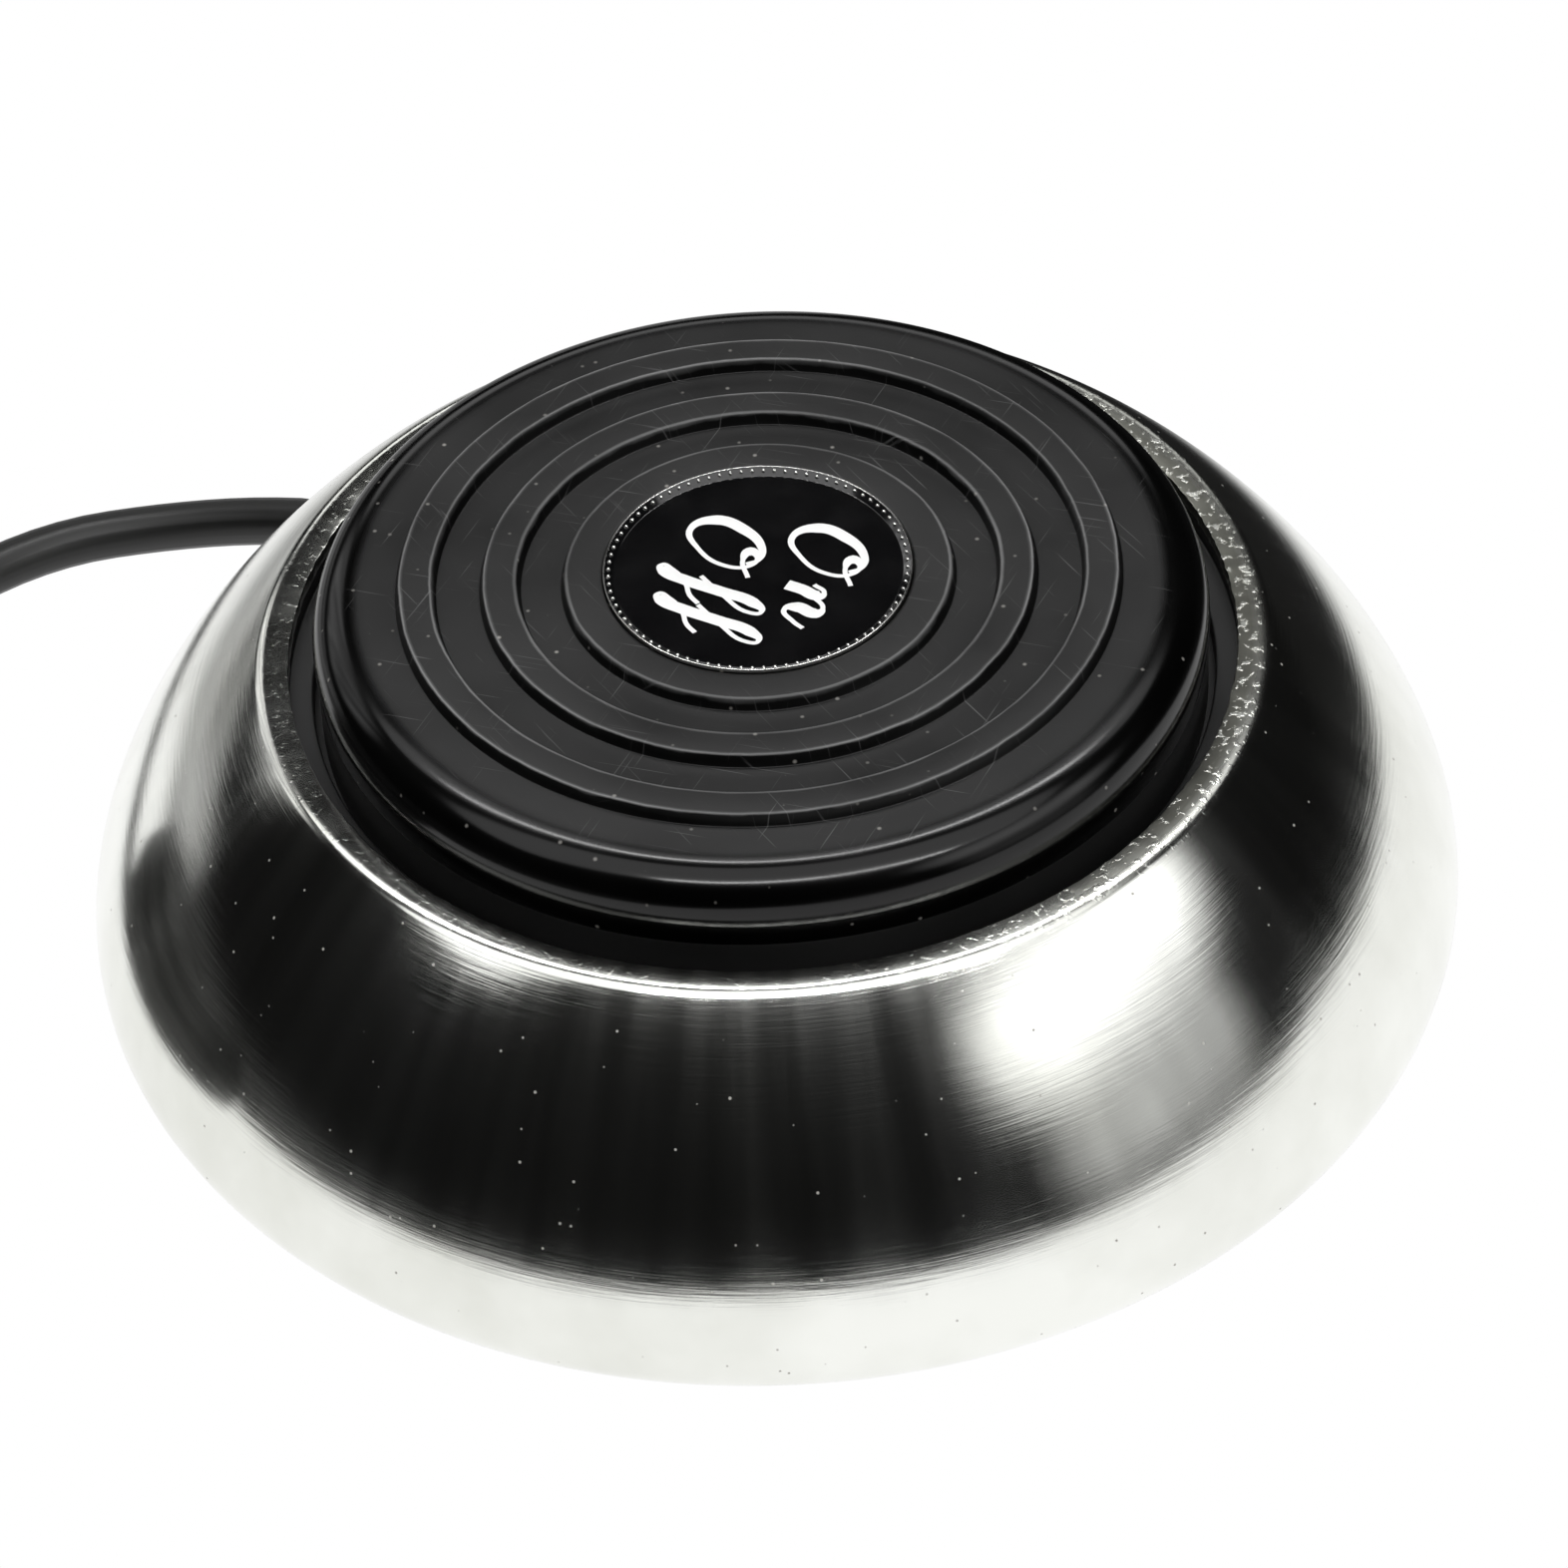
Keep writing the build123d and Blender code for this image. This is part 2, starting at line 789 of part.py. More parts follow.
def cord_points():
    """Route of the lead from inside the shell to its coil."""
    hole = at(shell_max_r, cord_hole_angle, cord_floor_z)
    return [
        at(shell_max_r - cord_start_inset, cord_start_angle, cord_exit_z),
        at(shell_max_r - cord_straight_in, cord_hole_angle, cord_exit_z),
        at(shell_max_r + cord_straight_out, cord_hole_angle, cord_exit_z),
    ] + [hole + Vector(*step) for step in cord_route]


def tail_points():
    """Route of the lead from its coil to the plug."""
    middle = coil_middle()
    rest = Vector(middle.X, middle.Y, jack_handle_r + floor_gap)
    return [rest + Vector(*step) for step in tail_route]


def make_cord_grommet():
    """Rubber grommet in the shell's side, squeezed round the lead."""
    out_r = shell_max_r + grommet_flange
    in_r = shell_max_r - shell_wall - grommet_flange
    start = at(in_r, cord_hole_angle, cord_exit_z)
    end = at(out_r, cord_hole_angle, cord_exit_z)
    body = rod(start, end, grommet_flange_r) - make_shell()
    reach = at(2 * shell_wall, cord_hole_angle, 0)
    return body - rod(start - reach, end + reach, cord_r)


def anchor_frame():
    """Plane on the lead's axis inside the shell, Z along the lead."""
    start, turn = cord_points()[:2]
    along = (turn - start).normalized()
    across = Vector(0, 0, 1).cross(along)
    return Plane(origin=start + along * anchor_start, x_dir=across, z_dir=along)


def anchor_screw_places():
    """Plan positions of the two screws through the anchor."""
    frame = anchor_frame()
    places = []
    for side in (-1, 1):
        place = frame.origin + frame.x_dir * side * anchor_screw_spread / 2
        place += frame.z_dir * anchor_length / 2
        places.append((place.X, place.Y))
    return places


def make_cord_anchor():
    """Moulded block that grips the lead inside the shell."""
    frame = anchor_frame()
    foot = cord_exit_z - plate_top
    high = cord_r + anchor_top_cover
    outline = Polyline(
        (-anchor_width / 2, -foot),
        (anchor_width / 2, -foot),
        (anchor_width / 2, -cord_r / 2),
        (cord_r + anchor_cover, -cord_r / 2),
        (cord_r, high),
        (-cord_r, high),
        (-cord_r - anchor_cover, -cord_r / 2),
        (-anchor_width / 2, -cord_r / 2),
        close=True,
    )
    body = extrude(frame * make_face(outline), amount=anchor_length, dir=frame.z_dir)
    middle = frame.origin
    body -= rod(middle - frame.z_dir, middle + frame.z_dir * (anchor_length + 1), cord_r)
    for x, y in anchor_screw_places():
        body -= Pos(x, y, plate_top) * Cylinder(anchor_screw_r, 4 * foot)
    return body


def make_anchor_screws():
    """Two screws that hold the anchor to the base plate."""
    seat = cord_exit_z - cord_r / 2
    length = seat - base_z
    screws = [
        pan_screw((x, y, seat), (0, 0, -1), anchor_screw_r, length, anchor_head_r, anchor_head)
        for x, y in anchor_screw_places()
    ]
    return Compound(children=screws)


def wire_points(side, height, sway):
    """Route of one core from the lead's end to a terminal blade."""
    start = cord_points()[0]
    frame = anchor_frame()
    first = start + frame.x_dir * side * wire_pitch / 2
    tip = Vector(case_x + blade_width / 4, case_end + blade_length, height)
    rise = height - cord_exit_z
    points = [first, first - frame.z_dir * wire_straight]
    for (x, y), up, out in zip(wire_route, wire_rise_shares, wire_sway_shares):
        points.append(Vector(tip.X + x, tip.Y + y + out * sway, cord_exit_z + up * rise))
    return points + [tip]


def run_length(steps):
    """Length of a route along its straight runs."""
    points = [Vector(*step) for step in steps]
    return sum((after - before).length for before, after in zip(points, points[1:]))


def coil_bundle_r():
    """Radius of the bundle that the rest of the lead fills, wound round the coil."""
    inside = cord_start_inset + cord_straight_out
    rest = cord_length - inside - run_length(cord_route) - run_length(tail_route)
    turns = math.ceil(rest / (2 * math.pi * coil_mid_r))
    return cord_r * math.sqrt(turns / coil_fill_share)


def coil_middle():
    """Middle of the coil, which stands on its strap."""
    hole = at(shell_max_r, cord_hole_angle)
    return hole + Vector(*coil_offset, coil_bundle_r() + tie_sheet + floor_gap)


def make_cord_coil():
    """Outer form of the coiled length of lead."""
    return Pos(coil_middle()) * Torus(coil_mid_r, coil_bundle_r())


def make_coil_tie():
    """Flat strap round one side of the coil."""
    plane = Plane(origin=coil_middle() + at(coil_mid_r, tie_angle), z_dir=at(1, tie_angle + 90))
    band = Cylinder(coil_bundle_r() + tie_sheet, tie_width)
    band -= Cylinder(coil_bundle_r(), tie_width)
    return plane * band


def jack_frame():
    """Plane at the mouth of the plug's boot, Z along the plug."""
    before, end = tail_points()[-2:]
    return Plane(origin=end, z_dir=end - before)


def plug_piece(points):
    """Turned piece of the plug, given by radius and distance from the boot's mouth."""
    outline = Polyline(*[rz(r, z) for r, z in points], close=True)
    return jack_frame() * revolve(make_face(outline), Axis.Z)


def make_jack_boot():
    """Flexible tapered boot at the back of the plug."""
    neck = jack_handle_r - jack_boot_step
    ring = jack_boot / 5
    points = [(0, 0), (jack_boot_mouth_r, 0)]
    for i in range(1, 4):
        here = jack_boot_mouth_r + (neck - jack_boot_mouth_r) * i / 4
        low = here - boot_groove
        end = ring * i + boot_groove_width
        points += [(here, ring * i), (low, ring * i), (low, end), (here, end)]
    points += [(neck, jack_boot), (0, jack_boot)]
    return plug_piece(points)


def make_jack_handle():
    """Round moulded handle with a waist behind its collar."""
    start = jack_boot
    end = jack_boot + jack_handle
    waist = jack_handle_r - jack_waist
    return plug_piece(
        [
            (0, start),
            (jack_handle_r - jack_chamfer, start),
            (jack_handle_r, start + 2 * jack_chamfer),
            (jack_handle_r, end - 3 * jack_collar),
            (waist, end - 2.5 * jack_collar),
            (waist, end - 1.3 * jack_collar),
            (jack_handle_r, end - jack_collar),
            (jack_handle_r, end - jack_chamfer),
            (jack_handle_r - jack_chamfer, end),
            (0, end),
        ]
    )


def make_jack_sleeve():
    """Metal sleeve contact of the plug."""
    start = jack_boot + jack_handle
    return plug_piece([(0, start), (jack_r, start), (jack_r, start + jack_sleeve), (0, start + jack_sleeve)])


def make_jack_insulator():
    """Dark band between sleeve and tip."""
    start = jack_boot + jack_handle + jack_sleeve
    end = start + jack_insulator
    return plug_piece([(0, start), (jack_r, start), (jack_r, end), (0, end)])


def make_jack_tip():
    """Metal tip contact with its waist and pointed end."""
    start = jack_boot + jack_handle + jack_sleeve + jack_insulator
    waist = start + jack_tip * 0.62
    return plug_piece(
        [
            (0, start),
            (jack_r, start),
            (jack_r, waist - 1.6),
            (jack_tip_waist_r, waist),
            (jack_r * 0.9, waist + 1.3),
            (jack_r * 0.85, waist + 2.2),
            (jack_r * 0.25, start + jack_tip),
            (0, start + jack_tip),
        ]
    )


def make_parts():
    """Every piece by its node name."""
    low_wire, high_wire = blade_heights()[0], blade_heights()[2]
    return {
        "shell": make_shell(),
        "guide_ring": make_guide_ring(),
        "base_plate": make_base_plate(),
        "floor_mat": make_floor_mat(),
        "fixing_tabs": make_fixing_tabs(),
        "base_screws": make_base_screws(),
        "pedal_pad": make_pedal_pad(),
        "pedal_carrier": make_pedal_carrier(),
        "badge_dish": make_badge_dish(),
        "badge_face": make_badge_face(),
        "guide_post": make_guide_post(),
        "spring_seat": make_spring_seat(),
        "return_spring": make_return_spring(),
        "switch_case": make_switch_case(),
        "lever_pin": make_lever_pin(),
        "switch_lever": make_switch_lever(),
        "switch_plunger": make_switch_plunger(),
        "switch_bracket": make_switch_bracket(),
        "bracket_rivets": make_bracket_rivets(),
        "switch_screws": make_switch_screws(),
        "switch_terminals": make_switch_terminals(),
        "cord_grommet": make_cord_grommet(),
        "cord_anchor": make_cord_anchor(),
        "anchor_screws": make_anchor_screws(),
        "low_wire": tube("low_wire", wire_points(1, low_wire, 0.0), wire_r),
        "high_wire": tube("high_wire", wire_points(-1, high_wire, high_wire_sway), wire_r),
        "cord": tube("cord", cord_points(), cord_r),
        "cord_coil": make_cord_coil(),
        "coil_tie": make_coil_tie(),
        "cord_tail": tube("cord_tail", tail_points(), cord_r),
        "jack_boot": make_jack_boot(),
        "jack_handle": make_jack_handle(),
        "jack_sleeve": make_jack_sleeve(),
        "jack_insulator": make_jack_insulator(),
        "jack_tip": make_jack_tip(),
    }


def main():
    """Write one STEP file for each node."""
    os.makedirs("parts", exist_ok=True)
    for name, shape in make_parts().items():
        export_step(shape, f"parts/{name}.step")
    print(f"lever swing {lever_swing:.2f} deg, plunger travel {plunger_travel:.3f} mm")
    print(f"coil bundle radius {coil_bundle_r():.2f} mm")


main()
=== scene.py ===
"""Looks of the round foot switch: shell, tread, badge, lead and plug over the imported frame."""

import logging
import math
from dataclasses import dataclass
from enum import Enum
from typing import Any, Callable, Optional, Sequence

import bmesh
import bpy
from mathutils import Matrix, Vector, noise


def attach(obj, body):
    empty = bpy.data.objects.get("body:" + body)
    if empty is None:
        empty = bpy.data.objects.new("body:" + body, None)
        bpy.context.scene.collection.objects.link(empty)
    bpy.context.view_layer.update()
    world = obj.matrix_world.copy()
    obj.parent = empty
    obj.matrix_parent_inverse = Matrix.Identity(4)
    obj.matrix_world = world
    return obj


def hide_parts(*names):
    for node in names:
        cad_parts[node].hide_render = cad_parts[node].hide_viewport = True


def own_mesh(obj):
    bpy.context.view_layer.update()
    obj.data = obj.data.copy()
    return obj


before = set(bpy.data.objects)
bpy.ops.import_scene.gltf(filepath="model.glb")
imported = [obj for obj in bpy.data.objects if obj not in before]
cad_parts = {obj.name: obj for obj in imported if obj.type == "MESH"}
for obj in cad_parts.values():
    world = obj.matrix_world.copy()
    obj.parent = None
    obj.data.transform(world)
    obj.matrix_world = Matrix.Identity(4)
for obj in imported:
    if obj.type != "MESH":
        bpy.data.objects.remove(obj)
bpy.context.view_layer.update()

logging.basicConfig(level=logging.INFO, format="%(message)s")
log = logging.getLogger("foot_switch")

MM = 0.001
WHITE = "#ffffff"
SMOOTH = {"interpolation_type": "SMOOTHSTEP"}
Point = tuple[float, float]
Place = tuple[float, float, float]
Node = bpy.types.Node
Mesh = bpy.types.Mesh
Object = bpy.types.Object
Socket = bpy.types.NodeSocket


class Body(Enum):
    """Bodies of the frame that the finished pieces ride on."""

    HOUSING = "housing"
    PEDAL = "pedal"


class Axis(Enum):
    """Direction in which a metal's fine marks run."""

    ROUND = "round"
    FLAT = "flat"


def linear(code: str) -> tuple[float, float, float, float]:
    """Turn an sRGB hex code into a linear colour.

    Args:
        code: Colour such as "#1a1a1c".

    Returns:
        Linear red, green and blue with an alpha of one.
    """
    shares = [int(code[i : i + 2], 16) / 255 for i in (1, 3, 5)]
    red, green, blue = [s / 12.92 if s <= 0.04045 else ((s + 0.055) / 1.055) ** 2.4 for s in shares]
    return (red, green, blue, 1.0)


@dataclass(frozen=True)
class Wires:
    """A node tree in the making.

    Attributes:
        tree: The node tree.
        shader: The principled shader, in a finish.
        place: Object coordinates there, in metres.
    """

    tree: bpy.types.NodeTree
    shader: Optional[Node] = None
    place: Optional[Socket] = None

    def feed(self, socket: Socket, value: Any) -> None:
        """Fill an input.

        Args:
            socket: The input.
            value: A plain value, the socket that feeds it, or a node whose first output does.
        """
        if isinstance(value, Node):
            value = next(output for output in value.outputs if output.enabled)
        if isinstance(value, Socket):
            self.tree.links.new(value, socket)
        else:
            socket.default_value = value

    def shade(self, **named: Any) -> None:
        """Fill inputs of the shader, named with a line for a space."""
        for name, value in named.items():
            self.feed(self.shader.inputs[name.replace("_", " ")], value)

    def add(self, kind: str, *values: Any, stops: Sequence[tuple[float, str]] = (), **named: Any) -> Node:
        """Add a node with its settings, values and links.

        Args:
            kind: Blender's name for the node type without ShaderNode, and its operation after a dot.
            *values: What fills the node's inputs, in their order.
            stops: Places and hex colours of a colour ramp.
            **named: What fills the input of that name, or the node's setting of that name.

        Returns:
            The new node.
        """
        kind, _, operation = kind.partition(".")
        node = self.tree.nodes.new(kind if kind.startswith(("Geometry", "NodeGroup")) else f"ShaderNode{kind}")
        if operation:
            node.operation = operation
        for name, value in named.items():
            if name not in node.inputs:
                setattr(node, name, value)
        for socket, value in zip([socket for socket in node.inputs if socket.enabled], values):
            self.feed(socket, value)
        for name, value in named.items():
            if name in node.inputs:
                self.feed(node.inputs[name], value)
        if stops:
            ramp = node.color_ramp
            while len(ramp.elements) < len(stops):
                ramp.elements.new(1.0)
            for element, (spot, code) in zip(ramp.elements, stops):
                element.position = spot
                element.color = linear(code)
        return node


def emptied(block: Any) -> Wires:
    """Turn on the nodes of a material or a world, and clear them."""
    block.use_nodes = True
    block.node_tree.nodes.clear()
    return Wires(block.node_tree)


def polar(r: float, turn_deg: float, z: float = 0.0) -> Place:
    """Point by its distance from the axis, its angle in degrees and its height."""
    angle = math.radians(turn_deg)
    return (r * math.cos(angle), r * math.sin(angle), z)


def per_metre(size_mm: float) -> float:
    """Scale of a pattern whose real size is given in millimetres."""
    return 1 / (size_mm * MM)


def about_axis(on: Wires) -> tuple[Node, Node]:
    """Distance from the upright axis, and the direction away from it."""
    flat = on.add("VectorMath.MULTIPLY", on.place, (1.0, 1.0, 0.0))
    return on.add("VectorMath.LENGTH", flat), on.add("VectorMath.NORMALIZE", flat)


@dataclass(frozen=True)
class Finish:
    """Base of every finish: a named material with one principled shader.

    Attributes:
        name: Name of the material, for what it really is.
        base: Main colour, sRGB hex.
        other: Second colour that the pattern mixes in, sRGB hex.
        rough: Roughness of the cleanest places.
        rough_span: How much rougher the dullest places are.
        metallic: One for bare metal.
    """

    name: str
    base: str
    other: str
    rough: float = 0.4
    rough_span: float = 0.15
    metallic: float = 0.0

    def material(self) -> bpy.types.Material:
        """Return the material, made on first use."""
        made = bpy.data.materials.get(self.name)
        if made is None:
            made = bpy.data.materials.new(self.name)
            made.diffuse_color = linear(self.base)
            on = emptied(made)
            shader = on.add("BsdfPrincipled", Metallic=self.metallic)
            self.dress(Wires(on.tree, shader, on.add("TexCoord").outputs["Object"]))
            on.add("OutputMaterial", shader)
        return made

    def dress(self, on: Wires) -> None:
        """Link the finish's patterns to the shader."""
        raise NotImplementedError

    def clouded(self, on: Wires, lump_mm: float) -> tuple[Node, Node]:
        """Mix the two colours, and dull and glossy places, by one cloud.

        Args:
            on: The material's node tree.
            lump_mm: Size of the cloud's lumps.

        Returns:
            The cloud and the colour.
        """
        cloud = on.add("TexNoise", on.place, per_metre(lump_mm), 5.0)
        colour = on.add("Mix", cloud, linear(self.base), linear(self.other), data_type="RGBA")
        gloss = on.add("MapRange", cloud, 0.3, 0.7, self.rough, self.rough + self.rough_span)
        on.shade(Base_Color=colour, Roughness=gloss)
        return cloud, colour

    def grained(self, on: Wires, pattern: tuple[Any, float, float], depth_mm: float, strength: float) -> None:
        """Raise the surface by a fine grain.

        Args:
            on: The material's node tree.
            pattern: Coordinates, scale and detail of the grain.
            depth_mm: Its height.
            strength: How strongly it bends the light.
        """
        grain = on.add("TexNoise", *pattern)
        on.shade(Normal=on.add("Bump", Height=grain, Distance=depth_mm * MM, Strength=strength))


@dataclass(frozen=True)
class Moulded(Finish):
    """Moulded plastic or rubber: a fine even grain, cloudy gloss and a little dust.

    Attributes:
        grain_mm: Size of the mould's grain.
        grain_depth_mm: Height of that grain.
        dust: Strength of the pale specks, none at zero.
        cloud_mm: Size of the cloudy places.
        speck_mm: Distance between specks.
    """

    grain_mm: float = 0.25
    grain_depth_mm: float = 0.01
    dust: float = 0.0
    cloud_mm: float = 11.11
    speck_mm: float = 2.381

    def dress(self, on: Wires) -> None:
        """Mix two near colours by a cloud, with grain as bump and specks of dust."""
        cloud, colour = self.clouded(on, self.cloud_mm)
        self.grained(on, (on.place, per_metre(self.grain_mm), 3.0), self.grain_depth_mm, 0.6)
        if self.dust > 0:
            speck = on.add("TexVoronoi", on.place, per_metre(self.speck_mm))
            small = on.add("MapRange", speck, 0.03, 0.09, self.dust, 0.0)
            thin = on.add("Math.MULTIPLY", small, cloud)
            under = self.under_dust(on, colour)
            on.shade(Base_Color=on.add("Mix", thin, under, linear("#b9b6b0"), data_type="RGBA"))

    def under_dust(self, on: Wires, colour: Node) -> Node:
        """Colour that the dust lies on, here the clouded one."""
        return colour


@dataclass(frozen=True)
class Worked(Finish):
    """Turned, drawn or plated metal: fine marks in one direction and cloudy gloss.

    Attributes:
        marks: Direction of the marks.
        mark_mm: Spacing of the marks.
        mark_depth_mm: Depth of the marks.
        mark_length: How many times longer than wide a mark is.
        cloud_mm: Size of the cloudy places.
    """

    metallic: float = 1.0
    marks: Axis = Axis.FLAT
    mark_mm: float = 0.2
    mark_depth_mm: float = 0.004
    mark_length: float = 12.0
    cloud_mm: float = 6.25

    def dress(self, on: Wires) -> None:
        """Mix two near greys by a cloud and lay fine marks over them."""
        self.clouded(on, self.cloud_mm)
        fine = per_metre(self.mark_mm)
        long = fine / self.mark_length
        stretch = (fine, fine, long) if self.marks is Axis.FLAT else (long, long, fine)
        laid = on.add("Mapping", on.place, Scale=stretch)
        self.grained(on, (laid, 1.0, 3.0), self.mark_depth_mm, 0.5)


@dataclass(frozen=True)
class SpunSteel(Finish):
    """Polished spun steel: round brush marks, upright smears, dust, worn nicks at the lip, and a painted darker
    reflection on the lip's right side.

    Attributes:
        mark_mm: Spacing of the fine brush marks.
        broad_mm: Spacing of the broad ones.
        smear_mm: Length of the upright smears.
        mark_depth_mm: Depth of the marks.
        tarnish_mm: Size of the paler places.
        speck_mm: Distance between specks of dust.
        chip_mm: Size of the chips on the lip.
        wear_and_dimming_r: Radius within which the lip is worn and, on its right side, painted darker as a dim
            reflection, in millimetres.
        wear_and_dimming_fade_mm: Width over which the wear and the painted darkening set in.
    """

    metallic: float = 1.0
    mark_mm: float = 0.16
    broad_mm: float = 0.55
    smear_mm: float = 60.0
    mark_depth_mm: float = 0.007
    tarnish_mm: float = 18.18
    speck_mm: float = 1.5625
    chip_mm: float = 2 / 3
    wear_and_dimming_r: float = 39.4
    wear_and_dimming_fade_mm: float = 1.8

    def dress(self, on: Wires) -> None:
        """Lay the marks by angle and by distance down the section, so they run round the shell."""
        radius, facing = about_axis(on)
        height = on.add("SeparateXYZ", on.place).outputs["Z"]
        down = on.add("Math.SUBTRACT", radius, height)
        lanes = []
        for turns, pitch_mm in ((3.0, self.mark_mm), (9.0, self.broad_mm), (14.0, self.smear_mm)):
            around = on.add("VectorMath.SCALE", facing, turns)
            along = on.add("Math.MULTIPLY", down, per_metre(pitch_mm))
            spot = on.add("VectorMath.ADD", around, on.add("CombineXYZ", Z=along))
            lanes.append(on.add("TexNoise", spot, 1.0, 4.0))
        fine, broad, smear = lanes
        relief = on.add("Math.MULTIPLY_ADD", broad, 1.6, fine)
        gloss = on.add("MapRange", smear, 0.35, 0.7, self.rough, self.rough + self.rough_span)
        dusty, colour = self.dusted(on)
        bare = on.add("Math.SUBTRACT", 1.0, dusty)
        duller = on.add("Math.MULTIPLY_ADD", dusty, 0.5, gloss)
        fade = (self.wear_and_dimming_r * MM, (self.wear_and_dimming_r - self.wear_and_dimming_fade_mm) * MM)
        at_lip = on.add("MapRange", radius, *fade, 0.0, 1.0)
        knock = on.add("TexNoise", on.place, per_metre(self.chip_mm), 3.0)
        right = on.add("SeparateXYZ", facing).outputs["X"]
        # The lip is chipped and dull on the right, where shoes scrape it, and painted darker there to stand for a
        # dim reflection.
        deep = on.add("MapRange", right, 0.1, 0.8, 1.5, 7.0)
        dull = on.add("MapRange", right, 0.2, 0.8, 0.02, 0.2)
        rough = on.add("Math.MULTIPLY_ADD", at_lip, dull, duller)
        chip = on.add("MapRange", knock, 0.56, 0.66, 0.0, deep)
        nicked = on.add("Math.MULTIPLY_ADD", chip, at_lip, relief)
        # Painted shade: the lip's colour is darkened on its right side to stand for a dim reflection.
        dim_right = on.add("MapRange", right, 0.45, 0.8, 0.0, 0.95)
        spared = on.add("MapRange", knock, 0.56, 0.68, 1.0, 0.25)
        held = on.add("Math.MULTIPLY", dim_right, at_lip)
        painted_dim = on.add("Math.MULTIPLY", held, spared)
        darker = on.add("Mix", painted_dim, colour, linear("#77776f"), data_type="RGBA")
        bump = on.add("Bump", Height=nicked, Distance=self.mark_depth_mm * MM, Strength=0.7)
        lie = on.add("Tangent", direction_type="RADIAL", axis="Z")
        on.shade(Base_Color=darker, Metallic=bare, Roughness=rough, Normal=bump, Tangent=lie)
        on.shade(Anisotropic=0.3, Anisotropic_Rotation=0.25)

    def dusted(self, on: Wires) -> tuple[Node, Node]:
        """Specks of dust over the clouded steel: how thickly they lie, and the colour with them."""
        lump = on.add("TexNoise", on.place, per_metre(self.tarnish_mm), 6.0)
        tarnish = on.add("MapRange", lump, 0.35, 0.65, 0.0, 1.0)
        colour = on.add("Mix", tarnish, linear(self.base), linear(self.other), data_type="RGBA")
        speck = on.add("TexVoronoi", on.place, per_metre(self.speck_mm))
        mote = on.add("MapRange", speck, 0.03, 0.09, 1.0, 0.0)
        few = on.add("MapRange", speck.outputs["Color"], 0.5, 0.6, 0.0, 0.9)
        dusty = on.add("Math.MULTIPLY", mote, few)
        return dusty, on.add("Mix", dusty, colour, linear("#a8a49c"), data_type="RGBA")


